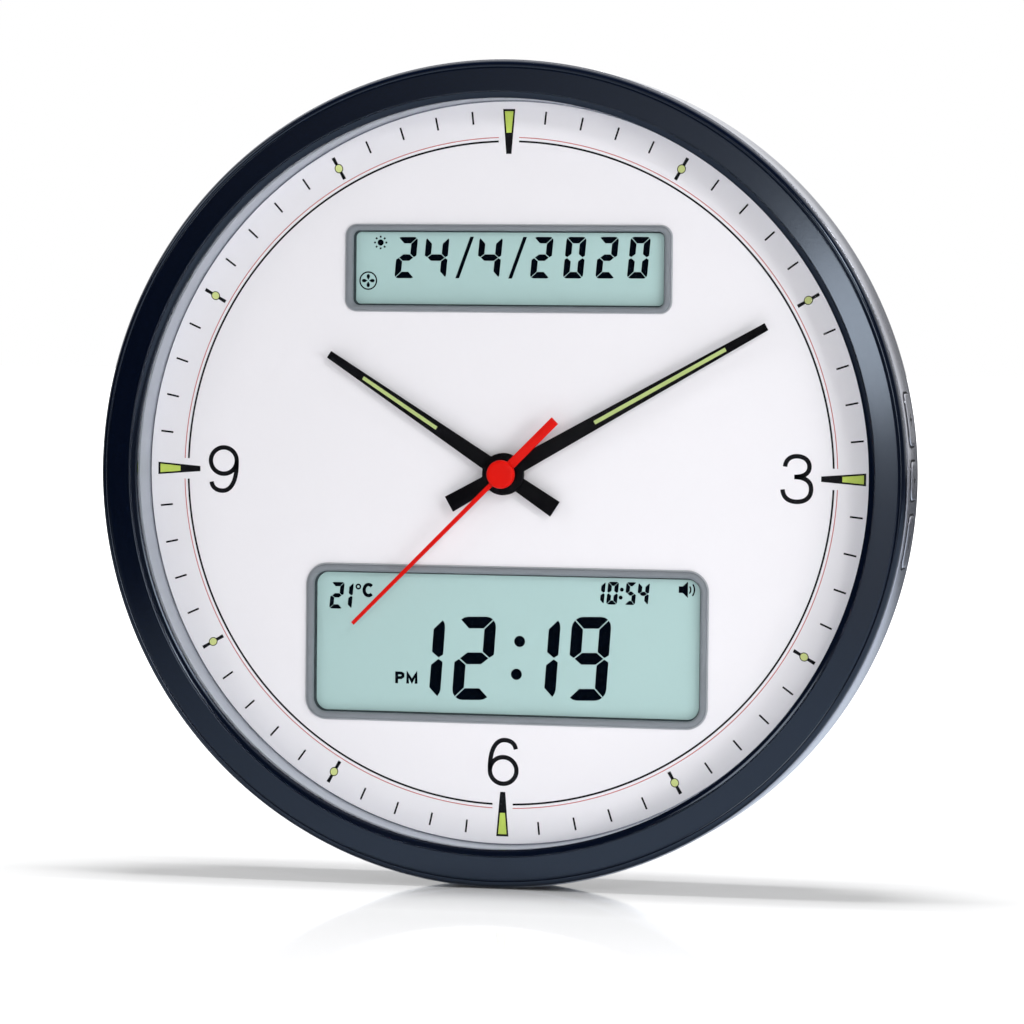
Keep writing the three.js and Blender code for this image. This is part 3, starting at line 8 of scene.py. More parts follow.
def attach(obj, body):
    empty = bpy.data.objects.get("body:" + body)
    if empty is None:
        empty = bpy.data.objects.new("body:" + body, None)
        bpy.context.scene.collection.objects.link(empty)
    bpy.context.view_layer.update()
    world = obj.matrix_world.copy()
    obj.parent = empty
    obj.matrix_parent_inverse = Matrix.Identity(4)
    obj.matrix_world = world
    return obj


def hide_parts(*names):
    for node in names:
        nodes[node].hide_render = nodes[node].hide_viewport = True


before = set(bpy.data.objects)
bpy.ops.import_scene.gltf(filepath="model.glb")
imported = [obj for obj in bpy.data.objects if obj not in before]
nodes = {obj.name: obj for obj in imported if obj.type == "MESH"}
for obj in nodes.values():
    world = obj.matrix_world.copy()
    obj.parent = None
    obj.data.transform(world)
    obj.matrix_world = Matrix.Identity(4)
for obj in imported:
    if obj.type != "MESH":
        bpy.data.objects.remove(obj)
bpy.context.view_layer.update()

# Case body: the silver side band and the floor behind the dial, one injection moulding in ABS.
# It is turned from a section, cut for the displays, the hands' bush and the three buttons, and
# carries the bosses, the melted stakes and the two grooved posts of the switch board.
MM = 0.001
CASE_RADIUS = 150.1
CASE_INNER_RADIUS = 147.6
CASE_REAR = 16.1
CASE_FRONT = 40.4
REAR_ROUND = 1.5
FRONT_ROUND = 0.3
FLOOR_BACK = 23.8
FLOOR_FRONT = 25.8
FLOOR_MIDDLE = 24.8
UPPER_PLACE = (0.0, 74.8)
LOWER_PLACE = (0.4, -62.8)
UPPER_CELL = (*UPPER_PLACE, 120.6, 31.4, 0.8)
LOWER_CELL = (*LOWER_PLACE, 149.2, 56.0, 0.8)
CELL_PLAY = 0.6
BUSH_HOLE_RADIUS = 4.3
BUTTON_DEPTH = 29.5
BUTTON_WIDTH = 12.5
BUTTON_CORNER = 3.6
BUTTON_PLACES = {"upper": (21.8, 18.8), "middle": (0.0, 14.0), "lower": (-21.8, 18.8)}
SLOT_PLAY = 1.4
SWITCH_BAY = (138.8, 32.7)
SCREW_CIRCLE = 140.0
SCREW_HOLE_RADIUS = 1.75
BOSS_RADIUS = 3.6
COVER_FLANGE_FRONT = 18.8
BOARD_BACK = 20.9
STAKE_RADIUS = 1.5
STAKE_HEAD_RADIUS = 2.5
BOARD_END = 34.8
POST_END = 36.5
POST_DEPTHS = (25.5, 36.5)
CORNERS = [(side, end) for side in (-1, 1) for end in (-1, 1)]


def spot(x, up, depth):
    """A point given in millimetres from the wall, as the view from the front shows it."""
    return Vector((x * MM, -depth * MM, up * MM))


def arc(x, y, width, height, start, end, steps):
    """Points along an ellipse round a centre, from one angle to another."""
    turns = [math.radians(start + (end - start) * i / steps) for i in range(steps + 1)]
    return [(x + width * math.cos(turn), y + height * math.sin(turn)) for turn in turns]


def circle(x, y, radius, count):
    """Points in equal steps all the way round a centre."""
    return arc(x, y, radius, radius, 0, 360 - 360 / count, count - 1)


def shaded(bm, sharp):
    """Makes a bmesh smooth but for the edges that turn by more than an angle."""
    for face in bm.faces:
        face.smooth = True
    for edge in bm.edges:
        edge.smooth = len(edge.link_faces) == 2 and edge.calc_face_angle() < math.radians(sharp)


def new_object(name, data):
    """A linked object with its data."""
    made = bpy.data.objects.new(name, data)
    bpy.context.scene.collection.objects.link(made)
    return made


def mesh_piece(name, bm, sharp=35):
    """A finished object from a bmesh, smooth but for its sharp edges, with its faces outwards."""
    bmesh.ops.remove_doubles(bm, verts=bm.verts, dist=0.0000001)
    bmesh.ops.recalc_face_normals(bm, faces=bm.faces)
    shaded(bm, sharp)
    mesh = bpy.data.meshes.new(name)
    bm.to_mesh(mesh)
    bm.free()
    return new_object(name, mesh)


def turned(name, section, sides=240, centre=(0, 0), sharp=35):
    """A closed section of (radius, depth) points, turned about an axis that points at the viewer."""
    bm = bmesh.new()
    rings = []
    for radius, depth in section:
        turns = [2 * math.pi * i / sides for i in range(sides if radius > 0 else 1)]
        rings.append([
            bm.verts.new(spot(centre[0] + radius * math.sin(t), centre[1] + radius * math.cos(t), depth))
            for t in turns
        ])
    for a, b in zip(rings, rings[1:] + rings[:1]):
        for i in range(sides):
            j = (i + 1) % sides
            corners = dict.fromkeys((a[i % len(a)], a[j % len(a)], b[j % len(b)], b[i % len(b)]))
            if len(corners) > 2:
                bm.faces.new(list(corners))
    return mesh_piece(name, bm, sharp)


def rod(x, up, radius, back, front, sides):
    """A round bar that points at the viewer."""
    return turned("rod", [(0, back), (radius, back), (radius, front), (0, front)], sides, (x, up))


def rounded(x, up, width, height, corner, steps=8, divisions=1):
    """Outline of a rectangle with round corners, its straight sides in equal divisions."""
    outline = []
    for k, (side, end) in enumerate([(1, 1), (-1, 1), (-1, -1), (1, -1)]):
        centre = (x + side * (width / 2 - corner), up + end * (height / 2 - corner))
        outline += arc(*centre, corner, corner, 90 * k, 90 * k + 90, steps)
    fine = []
    for i, point in enumerate(outline):
        fine.append(point)
        if i % (steps + 1) == steps:
            ahead = outline[(i + 1) % len(outline)]
            for k in range(1, divisions):
                fine.append(tuple(a + (b - a) * k / divisions for a, b in zip(point, ahead)))
    return fine


def lofted(name, loops, sharp=35, closed=False):
    """A skin over loops of points that all have the same count, its ends filled or joined."""
    bm = bmesh.new()
    rings = [[bm.verts.new(point) for point in loop] for loop in loops]
    pairs = list(zip(rings, rings[1:]))
    if closed:
        pairs.append((rings[-1], rings[0]))
    else:
        bm.faces.new(rings[0])
        bm.faces.new(rings[-1])
    count = len(rings[0])
    for a, b in pairs:
        for i in range(count):
            j = (i + 1) % count
            bm.faces.new([a[i], a[j], b[j], b[i]])
    return mesh_piece(name, bm, sharp)


def prism(name, outline, back, front):
    """An outline of (x, up) points, run from one depth to another."""
    return lofted(name, [[spot(x, up, depth) for x, up in outline] for depth in (back, front)])


def side_prism(name, outline, start, end):
    """An outline of (up, depth) points, run along the clock's width."""
    return lofted(name, [[spot(x, up, depth) for up, depth in outline] for x in (start, end)])


def plain(piece, sharp=35):
    """The same piece with its modifiers made part of its mesh."""
    graph = bpy.context.evaluated_depsgraph_get()
    mesh = bpy.data.meshes.new_from_object(piece.evaluated_get(graph))
    piece.modifiers.clear()
    piece.data = mesh
    bm = bmesh.new()
    bm.from_mesh(mesh)
    shaded(bm, sharp)
    bm.to_mesh(mesh)
    bm.free()
    return piece


def carved(piece, tools, operation="DIFFERENCE"):
    """The piece after each tool is cut out of it or joined to it."""
    for tool in tools:
        step = piece.modifiers.new("carve", "BOOLEAN")
        step.operation = operation
        step.solver = "EXACT"
        step.object = tool
    plain(piece)
    for tool in tools:
        bpy.data.objects.remove(tool)
    return piece


def merged(name, pieces):
    """One object out of several."""
    bm = bmesh.new()
    for piece in pieces:
        bm.from_mesh(piece.data)
        bpy.data.objects.remove(piece)
    return mesh_piece(name, bm)


def linear(code):
    """A hex colour as it is seen, turned into the values that shaders take."""
    channels = [int(code[i:i + 2], 16) / 255 for i in (1, 3, 5)]
    return [c / 12.92 if c <= 0.04045 else ((c + 0.055) / 1.055) ** 2.4 for c in channels]


def wire(tree, target, inputs):
    """Feeds inputs of a node, each with a value or with another node's output."""
    for socket, value in inputs.items():
        if isinstance(value, bpy.types.NodeSocket):
            tree.links.new(value, target.inputs[socket])
        else:
            target.inputs[socket].default_value = value


def node(tree, kind, inputs=None, **settings):
    """A new node of a tree with its settings and inputs."""
    made = tree.nodes.new(kind)
    for setting, value in settings.items():
        setattr(made, setting, value)
    wire(tree, made, inputs or {})
    return made


def mixed(tree, factor, first, second):
    """A colour between two others."""
    inputs = {"Factor": factor, "A": first, "B": second}
    return node(tree, "ShaderNodeMix", inputs, data_type="RGBA").outputs["Result"]


def graded(tree, source, start, end, low, high):
    """A value that goes from low to high while its source goes from start to end."""
    inputs = {"Value": source, "From Min": start, "From Max": end, "To Min": low, "To Max": high}
    return node(tree, "ShaderNodeMapRange", inputs).outputs["Result"]


def finish(name, colour, roughness, metallic=0.0, tint=0.06, cloud=60, grain=900, bump=0.05, shine=0.5):
    """A surface with slow colour clouds, fine grain in its gloss and a shallow relief."""
    material = bpy.data.materials.new(name)
    material.use_nodes = True
    tree = material.node_tree
    where = node(tree, "ShaderNodeTexCoord").outputs["Object"]
    clouds = node(tree, "ShaderNodeTexNoise", {"Vector": where, "Scale": cloud, "Detail": 4}).outputs["Fac"]
    grains = node(tree, "ShaderNodeTexNoise", {"Vector": where, "Scale": grain, "Detail": 3}).outputs["Fac"]
    dark = [c * (1 - tint) for c in linear(colour)] + [1]
    light = [min(1, c * (1 + tint)) for c in linear(colour)] + [1]
    relief = node(tree, "ShaderNodeBump", {"Strength": bump, "Distance": 0.0002, "Height": grains})
    wire(tree, tree.nodes["Principled BSDF"], {
        "Base Color": mixed(tree, clouds, dark, light),
        "Metallic": metallic,
        "Roughness": graded(tree, grains, 0, 1, roughness * 0.88, min(1, roughness * 1.12)),
        "Specular IOR Level": shine,
        "Normal": relief.outputs["Normal"],
    })
    return material


def dressed(piece, material, body="case", stands_for=()):
    """Gives a piece its finish and its body, and hides the nodes it stands for."""
    piece.data.materials.clear()
    piece.data.materials.append(material)
    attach(piece, body)
    if stands_for:
        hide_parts(*stands_for)
    return piece


silver_paint = finish("silver_paint", "#b4b6c0", 0.26, metallic=0.85, tint=0.04, grain=2600, bump=0.06)

shell = turned("case_shell", [
    (0, FLOOR_BACK),
    (CASE_INNER_RADIUS, FLOOR_BACK),
    (CASE_INNER_RADIUS, CASE_REAR),
    *arc(CASE_RADIUS - REAR_ROUND, CASE_REAR + REAR_ROUND, REAR_ROUND, REAR_ROUND, -90, 0, 5),
    (CASE_RADIUS, (CASE_REAR + CASE_FRONT) / 2),
    *arc(CASE_RADIUS - FRONT_ROUND, CASE_FRONT - FRONT_ROUND, FRONT_ROUND, FRONT_ROUND, 0, 90, 3),
    (CASE_INNER_RADIUS, CASE_FRONT),
    (CASE_INNER_RADIUS, FLOOR_FRONT),
    (0, FLOOR_FRONT),
], sides=720)
openings = []
for x, up, width, height, corner in (UPPER_CELL, LOWER_CELL):
    outline = rounded(x, up, width + CELL_PLAY, height + CELL_PLAY, corner + CELL_PLAY / 2)
    openings.append(prism("cut_cell", outline, FLOOR_BACK - 2, FLOOR_FRONT + 2))
openings.append(rod(0, 0, BUSH_HOLE_RADIUS, 20, 30, 48))
bay_start, bay_half = SWITCH_BAY
for up, length in BUTTON_PLACES.values():
    size = (length + SLOT_PLAY, BUTTON_WIDTH + SLOT_PLAY, BUTTON_CORNER + SLOT_PLAY / 2)
    openings.append(side_prism("cut_button", rounded(up, BUTTON_DEPTH, *size), bay_start, CASE_RADIUS + 3))
notch = [(bay_start, bay_half), (bay_start, -bay_half)]
for up in [bay_half * (i / 10 - 1) for i in range(21)]:
    notch.append((math.sqrt((CASE_INNER_RADIUS - 0.05) ** 2 - up ** 2), up))
openings.append(prism("cut_notch", notch, FLOOR_BACK - 1, FLOOR_FRONT + 1))
carved(shell, openings)

extras = []
SCREW_PLACES = arc(0, 0, SCREW_CIRCLE, SCREW_CIRCLE, 90, 390, 5)
for centre in SCREW_PLACES:
    extras.append(turned("boss", [
        (SCREW_HOLE_RADIUS, COVER_FLANGE_FRONT + 0.3),
        (BOSS_RADIUS, COVER_FLANGE_FRONT + 0.3),
        (BOSS_RADIUS, FLOOR_MIDDLE),
        (SCREW_HOLE_RADIUS, FLOOR_BACK),
    ], sides=32, centre=centre))
for x, up, width, height, corner in (UPPER_CELL, LOWER_CELL):
    for side, end in CORNERS:
        centre = (x + side * (width / 2 + 4.2), up + end * (height / 2 - 0.7))
        extras.append(turned("stake", [
            (0, BOARD_BACK - 1.3),
            (1.8, BOARD_BACK - 1.3),
            (STAKE_HEAD_RADIUS, BOARD_BACK - 0.9),
            (STAKE_HEAD_RADIUS, BOARD_BACK - 0.3),
            (STAKE_RADIUS, BOARD_BACK - 0.3),
            (STAKE_RADIUS, FLOOR_MIDDLE),
            (0, FLOOR_MIDDLE),
        ], sides=24, centre=centre))
back, front = POST_DEPTHS
for side in (-1, 1):
    for low, start, end in ((33.0, 137.0, 138.5), (33.0, 140.1, 141.6), (BOARD_END, 138.4, 140.2)):
        outline = [(low, back), (POST_END, back), (POST_END, front), (low, front)]
        extras.append(side_prism("post", [(side * up, depth) for up, depth in outline], start, end))
dressed(merged("case_moulding", [shell, *extras]), silver_paint, stands_for=["case_body"])

# Front bezel: a blue-black satin moulding snapped into the band, hollow behind. A fine groove parts
# its round outer edge from a nearly flat sloping face, and a stepped lip covers the lens's rim.
navy_plastic = finish("navy_plastic", "#030817", 0.13, tint=0.12, cloud=25, grain=1500, bump=0.03, shine=0.6)
navy_plastic.node_tree.nodes["Principled BSDF"].inputs["Specular Tint"].default_value = (0.72, 0.84, 1, 1)
bezel = turned("bezel_moulding", [
    (139.8, 37.8),
    (141.8, 37.8),
    (141.8, 41.3),
    (145.3, 41.3),
    (145.3, 37.8),
    (147.3, 37.8),
    (147.3, 40.7),
    *arc(149.4, 41.0, 0.3, 0.3, -90, 0, 2),
    *arc(147.8, 41.1, 1.9, 2.3, 5, 90, 9),
    (147.55, 43.34),
    (147.3, 43.2),
    (147.1, 43.24),
    (146.92, 43.45),
    (146.8, 43.515),
    (146.65, 43.523),
    (143.0, 43.7),
    (138.9, 43.89),
    *arc(138.75, 43.55, 0.3, 0.35, 90, 180, 3),
    (138.25, 43.15),
    (138.0, 43.0),
    *arc(136.5, 41.95, 0.4, 0.4, 75, 180, 4),
    (136.1, 40.9),
    (139.8, 40.9),
], sides=288, sharp=30)
dressed(bezel, navy_plastic, stands_for=["front_bezel"])

# Lens: a clear flat sheet behind the bezel's lip. The photograph shows almost no glare on it,
# so it is nearly invisible from the front and only its gloss and its cut edge tell of it.
lens_sheet = turned("lens_sheet", [
    (0, 39.1), *arc(139.3, 39.3, 0.2, 0.2, -90, 0, 1), *arc(139.3, 40.4, 0.2, 0.2, 0, 90, 1), (0, 40.6),
], sides=240)
clear_sheet = finish("clear_sheet", "#14181e", 0.04, tint=0.05, grain=200, bump=0.0, shine=0.3)
clear_sheet.node_tree.nodes["Principled BSDF"].inputs["Alpha"].default_value = 0.03
dressed(lens_sheet, clear_sheet, stands_for=["lens"])

# Ring wall: a light grey plastic cylinder that stands on the floor round the dial, keeps the lens
# clear of the hands, and shows as the pale wall inside the bezel.
grey_plastic = finish("grey_plastic", "#a9afb9", 0.45, tint=0.03, grain=1200, bump=0.08)
ring_wall = turned("ring_wall", [(136.1, 25.8), (138.3, 25.8), (138.3, 38.8), (136.1, 38.8)], sides=288)
dressed(ring_wall, grey_plastic, stands_for=["inner_ring"])

# Dial: white lacquered sheet with two windows and a hole for the hands' bush. Its print is screen
# ink, made as plates a few hundredths of a millimetre high, and what repeats goes round the axis.
DIAL_FACE = 27.0
INK = 0.03
UPPER_WINDOW = (*UPPER_PLACE, 119.2, 30.0, 3.7)
LOWER_WINDOW = (*LOWER_PLACE, 147.8, 54.6, 6.3)
white_lacquer = finish("white_lacquer", "#f3f2f6", 0.42, tint=0.012, cloud=18, grain=1800, bump=0.03)
black_ink = finish("black_ink", "#0e0e12", 0.5, tint=0.1, grain=2500, bump=0.05, shine=0.12)
red_ink = finish("red_ink", "#c96a68", 0.5, tint=0.08, grain=2500, bump=0.05)
green_ink = finish("green_ink", "#c4da64", 0.55, tint=0.07, cloud=700, grain=3000, bump=0.12, shine=0.2)
pale_ink = finish("pale_ink", "#d8e394", 0.55, tint=0.07, cloud=700, grain=3000, bump=0.12, shine=0.2)

dial_plate = turned("dial_plate", [
    (0, 25.8), (135.4, 25.8), (135.5, 25.9), (135.5, 26.9), (135.4, DIAL_FACE), (0, DIAL_FACE),
], sides=288)
dial_cuts = [rod(0, 0, BUSH_HOLE_RADIUS, 20, 30, 48)]
for window in (UPPER_WINDOW, LOWER_WINDOW):
    dial_cuts.append(prism("cut_window", rounded(*window), 24, 29))
carved(dial_plate, dial_cuts)
dressed(dial_plate, white_lacquer, stands_for=["dial"])


def calculated(tree, operation, *values):
    """The result of one step of sums, each value a number or an output."""
    return node(tree, "ShaderNodeMath", dict(enumerate(values)), operation=operation).outputs["Value"]


def geometry_tree(name, ports):
    """A Geometry Nodes tree with a geometry in and out and the named inputs between them."""
    tree = bpy.data.node_groups.new(name, "GeometryNodeTree")
    tree.interface.new_socket("Geometry", in_out="INPUT", socket_type="NodeSocketGeometry")
    for label, kind in ports.items():
        tree.interface.new_socket(label, in_out="INPUT", socket_type="NodeSocket" + kind)
    tree.interface.new_socket("Geometry", in_out="OUTPUT", socket_type="NodeSocketGeometry")
    return tree


def set_result(tree, geometry, material):
    """Paints a geometry and makes it the tree's result."""
    painted = node(tree, "GeometryNodeSetMaterial", {"Geometry": geometry, "Material": material})
    node(tree, "NodeGroupOutput", {0: painted.outputs["Geometry"]})


def reshaped(piece, tree, values):
    """The piece after a tree has run on it with these values, as a plain mesh."""
    step = piece.modifiers.new("tree", "NODES")
    step.node_group = tree
    ports = {port.name: port.identifier for port in tree.interface.items_tree if port.in_out == "INPUT"}
    for label, value in values.items():
        step[ports[label]] = value
    return plain(piece)


def round_the_axis():
    """Node tree that sets copies of a piece round the clock's axis, every nth one left out."""
    ports = {"Piece": "Object", "Count": "Int", "Skip every": "Int", "Finish": "Material"}
    tree = geometry_tree("round_the_axis", ports)
    given = node(tree, "NodeGroupInput").outputs
    index = node(tree, "GeometryNodeInputIndex").outputs["Index"]
    rest = calculated(tree, "MODULO", index, given["Skip every"])
    stays = calculated(tree, "GREATER_THAN", rest, 0.5)
    no_skip = calculated(tree, "LESS_THAN", given["Skip every"], 0.5)
    share = calculated(tree, "DIVIDE", index, given["Count"])
    turn = calculated(tree, "MULTIPLY", share, 2 * math.pi)
    source = node(tree, "GeometryNodeObjectInfo", {"Object": given["Piece"], "As Instance": True})
    copies = node(tree, "GeometryNodeInstanceOnPoints", {
        "Points": node(tree, "GeometryNodePoints", {"Count": given["Count"]}).outputs[0],
        "Selection": calculated(tree, "MAXIMUM", stays, no_skip),
        "Instance": source.outputs["Geometry"],
        "Rotation": node(tree, "ShaderNodeCombineXYZ", {"Y": turn}).outputs["Vector"],
    })
    real = node(tree, "GeometryNodeRealizeInstances", {"Geometry": copies.outputs["Instances"]})
    set_result(tree, real.outputs["Geometry"], given["Finish"])
    return tree


AXIS_TREE = round_the_axis()


def repeated(name, template, count, skip, material):
    """Copies of a template round the clock's axis as one plain mesh; the template goes."""
    holder = new_object(name, bpy.data.meshes.new(name))
    reshaped(holder, AXIS_TREE, {"Piece": template, "Count": count, "Skip every": skip, "Finish": material})
    bpy.data.objects.remove(template)
    return holder


def printed(name, template, count, skip, paint):
    """Copies of a mark round the dial, in their ink."""
    dressed(repeated(name, template, count, skip, paint), paint)


ink = (DIAL_FACE, DIAL_FACE + INK)
second_coat = (DIAL_FACE + INK, DIAL_FACE + 2 * INK)
TRACK_GAP = 3.8


def ring_arc(radius, width):
    """A quarter of a thin printed ring from 12 o'clock to 3 o'clock, short of both by the gap."""
    gap = math.degrees(math.asin(TRACK_GAP / radius))
    outer, inner = radius + width / 2, radius - width / 2
    outline = arc(0, 0, outer, outer, 90 - gap, gap, 60) + arc(0, 0, inner, inner, gap, 90 - gap, 60)
    return prism("ring", outline, *ink)


tick = prism("tick", [(-0.34, 127.8), (0.34, 127.8), (0.34, 132.5), (-0.34, 132.5)], *ink)
printed("minute_ticks", tick, 60, 5, black_ink)

bar = [(0.65, 132.8), *arc(0, 128.25, 1.6, 1.75, 70, -70, 8), (0.65, 123.8)]
bar += [(-x, up) for x, up in reversed(bar)]
printed("five_minute_marks", prism("bar", bar, *ink), 12, 3, black_ink)
drop = prism("drop", arc(0, 128.25, 1.3, 1.4, 0, 345, 23), *second_coat)
printed("five_minute_lume", drop, 12, 3, pale_ink)

wedge = prism("wedge", [(-0.97, 116.5), (0.97, 116.5), (2.28, 132.8), (-2.28, 132.8)], *ink)
printed("quarter_marks", wedge, 4, 0, black_ink)
inlay = prism("inlay", [(-0.92, 124.2), (0.92, 124.2), (1.6, 132.0), (-1.6, 132.0)], *second_coat)
printed("quarter_lume", inlay, 4, 0, green_ink)

printed("minute_track", ring_arc(121.07, 0.7), 4, 0, black_ink)
printed("outer_track", ring_arc(122.5, 0.33), 4, 0, red_ink)

# Numerals 3, 6 and 9: thin upright figures in black ink. Each stroke is one ribbon of constant
# width along a smooth centre line, and the six is the nine turned half round.
STROKE = 1.65


def bezier(a, b, c, d, steps=16):
    """Points of a cubic curve, its first point left out."""
    points = []
    for i in range(1, steps + 1):
        t = i / steps
        w = ((1 - t) ** 3, 3 * t * (1 - t) ** 2, 3 * t * t * (1 - t), t ** 3)
        points.append(tuple(sum(k * p[n] for k, p in zip(w, (a, b, c, d))) for n in (0, 1)))
    return points


def smooth_path(start, *curves):
    """A path of cubic curves joined end to end, each given by its last three points."""
    path = [start]
    for curve in curves:
        path += bezier(path[-1], *curve)
    return path


def ribbon(name, path, width, back, front, closed=False):
    """A flat band of constant width along a path of (x, up) points."""
    count = len(path)
    sides = ([], [])
    for i, (x, up) in enumerate(path):
        before = Vector(path[i]) - Vector(path[(i - 1) % count]) if closed or i > 0 else None
        after = Vector(path[(i + 1) % count]) - Vector(path[i]) if closed or i < count - 1 else None
        before, after = (before or after).normalized(), (after or before).normalized()
        along = (before + after).normalized()
        across = Vector((-along.y, along.x)) * width / 2 / max(along.dot(before), 0.4)
        sides[0].append((x + across.x, up + across.y))
        sides[1].append((x - across.x, up - across.y))
    bm = bmesh.new()
    rows = [[bm.verts.new(spot(x, up, depth)) for x, up in side]
            for side, depth in ((sides[0], front), (sides[1], front), (sides[1], back), (sides[0], back))]
    last = count if closed else count - 1
    for a, b in zip(rows, rows[1:] + rows[:1]):
        for i in range(last):
            j = (i + 1) % count
            bm.faces.new([a[i], a[j], b[j], b[i]])
    if not closed:
        bm.faces.new([row[0] for row in rows])
        bm.faces.new([row[-1] for row in rows])
    return mesh_piece(name, bm)


def moved(path, x, up, flip=1):
    """A path set down at a place, or turned half round there where flip is -1."""
    return [(x + flip * px, up + flip * py) for px, py in path]


NINE_BOWL = arc(0, 3.12, 5.0, 4.88, 0, 352.5, 47)
NINE_TAIL = smooth_path(
    (5.0, 3.12),
    ((5.2, -4.3), (2.9, -8.05), (-0.4, -8.05)),
    ((-2.8, -8.05), (-4.4, -6.8), (-4.7, -4.75), 8),
)
strokes = []
for label, place in (("nine", (-107.45, 0.0, 1)), ("six", (0.1, -105.5, -1))):
    strokes.append(ribbon(label + "_bowl", moved(NINE_BOWL, *place), STROKE, *ink, closed=True))
    strokes.append(ribbon(label + "_tail", moved(NINE_TAIL, *place), STROKE, *ink))
for three in (
    smooth_path(
        (-4.4, 4.3),
        ((-4.2, 6.7), (-2.6, 8.1), (-0.1, 8.1), 10),
        ((2.6, 8.1), (4.5, 6.6), (4.5, 4.4), 10),
        ((4.5, 2.0), (2.6, 0.65), (-1.0, 0.65), 10),
    ),
    smooth_path(
        (-1.0, 0.65),
        ((3.2, 0.65), (5.2, -1.0), (5.2, -3.7), 10),
        ((5.2, -6.7), (3.1, -8.3), (0.0, -8.3), 10),
        ((-3.1, -8.3), (-5.1, -6.7), (-5.2, -3.9), 10),
    ),
):
    strokes.append(ribbon("three", moved(three, 107.7, 0), STROKE, *ink))
dressed(merged("hour_numerals", strokes), black_ink)

# Display frames: grey beads clipped into the dial's windows. A thin paler trim runs round each bead,
# its paleness a painted highlight of the bead's outer edge, and a dark foam gasket seals its inner edge
# to the glass, dark also as painted shade of the window's recess.
frame_plastic = finish("frame_plastic", "#80868c", 0.4, tint=0.05, grain=1500, bump=0.1, shine=0.35)
# Painted highlight: the trim is paler to show the light caught by the bead's outer edge.
highlight_trim_plastic = finish("highlight_trim_plastic", "#a9adb2", 0.35, tint=0.04, grain=1500, bump=0.06, shine=0.4)
# Part dark foam, part painted shade of the window's recess.
gasket_foam_and_shade = finish("gasket_foam_and_shade", "#3c4548", 0.8, tint=0.1, grain=2600, bump=0.3, shine=0.1)


def rounded_ring(name, x, up, size, shrink, stations):
    """A ring of rounded corners whose section is given by (share of the shrink, depth) stations."""
    loops = []
    for share, depth in stations:
        width, height, corner = (full - less * share for full, less in zip(size, shrink))
        loops.append([spot(px, pz, depth) for px, pz in rounded(x, up, width, height, corner, 10)])
    return lofted(name, loops, sharp=40, closed=True)


for name, (x, up), size, shrink in (
    ("upper", UPPER_PLACE, (122.6, 32.2, 4.5), (6.0, 4.8, 2.1)),
    ("lower", LOWER_PLACE, (151.2, 57.9, 8.0), (6.0, 5.9, 3.0)),
):
    # Painted highlight: a paler ring at the bead's outer edge.
    trim = rounded_ring(name + "_trim", x, up, size, shrink, [
        (0.0, 27.0), (0.0, 27.45), (0.03, 27.6), (0.12, 27.65), (0.17, 27.6), (0.17, 27.0),
    ])
    dressed(trim, highlight_trim_plastic)
    bead = rounded_ring(name + "_bead", x, up, size, shrink, [
        (0.18, 27.0), (0.18, 27.9), (0.22, 28.15), (0.3, 28.33), (0.42, 28.4), (0.66, 28.4), (0.8, 28.3),
        (0.93, 27.9), (1.0, 27.5), (1.0, 25.1), (0.67, 25.1), (0.67, 27.0),
    ])
    dressed(bead, frame_plastic, stands_for=[name + "_display_frame"])
    inner = tuple(full - less for full, less in zip(size, shrink))
    # Painted shade: the gasket is dark foam, dark also to show the shade in the window's recess.
    gasket = rounded_ring(name + "_gasket", x, up, inner, (1.1, 1.1, 0.5), [
        (0.0, 24.8), (0.0, 26.6), (0.4, 26.6), (1.0, 25.4), (1.0, 24.8),
    ])
    dressed(gasket, gasket_foam_and_shade)

# Displays: liquid crystal cells behind the windows, grey-green glass with a matt film. The dark
# segments lie on the glass, in figures that lean to the right as such displays have them.
CELL_FRONT = 24.8
lcd_glass = finish("lcd_glass", "#b0d0ce", 0.32, tint=0.025, cloud=14, grain=2600, bump=0.03)
lcd_segment = finish("lcd_segment", "#02060e", 0.4, tint=0.1, grain=2600, bump=0.02, shine=0.0)


def painted(material, *names):
    """Gives CAD nodes that keep their solids a finish."""
    for name in names:
        nodes[name].data.materials.clear()
        nodes[name].data.materials.append(material)


painted(lcd_glass, "upper_display", "lower_display")
segment_depths = (CELL_FRONT, CELL_FRONT + INK)
LEAN = 0.09
LIT = {
    "0": "abcdef", "1": "bc", "2": "abged", "3": "abgcd", "4": "fgbc", "5": "afgcd",
    "6": "afgedc", "7": "abc", "8": "abcdefg", "9": "abcdfg",
}


def segments(figure, left, foot, width, height, bar_width, gap, corner_share=0.5, tilt=0.0):
    """The lit segments of a figure, each as an outline that leans to the right."""
    t, g, r = bar_width, gap, bar_width * corner_share
    half = height / 2
    corner = [(0.29 * r, 0.29 * r), (0.62 * r, 0.08 * r), (r, 0)]
    end = [(x + g, height - y) for x, y in corner]
    top = [*end, *[(width - x, y) for x, y in reversed(end)]]
    top += [(width - t - g, height - t), (t + g, height - t)]
    side = [(y, height - x - g) for x, y in corner]
    side += [(0, half + 0.25 * t + g), (0.38 * t, half + g), (t, half + t / 2 + g), (t, height - t - g)]
    flat = [(0.38 * t + 1.3 * g, 0), (t + 1.3 * g, t / 2), (width - t - 1.3 * g, t / 2)]
    flat += [(width - x, -y) for x, y in flat]
    shapes = {
        "a": top,
        "d": [(x, height - y) for x, y in top],
        "f": side,
        "b": [(width - x, y) for x, y in side],
        "e": [(x, height - y) for x, y in side],
        "c": [(width - x, height - y) for x, y in side],
        "g": [(x, half + y) for x, y in flat],
    }
    outlines = []
    for key in LIT[figure]:
        leaning = [(left + x + LEAN * y, y) for x, y in shapes[key]]
        outlines.append([(x - tilt * (y - half), foot + y + tilt * x) for x, y in leaning])
    return outlines


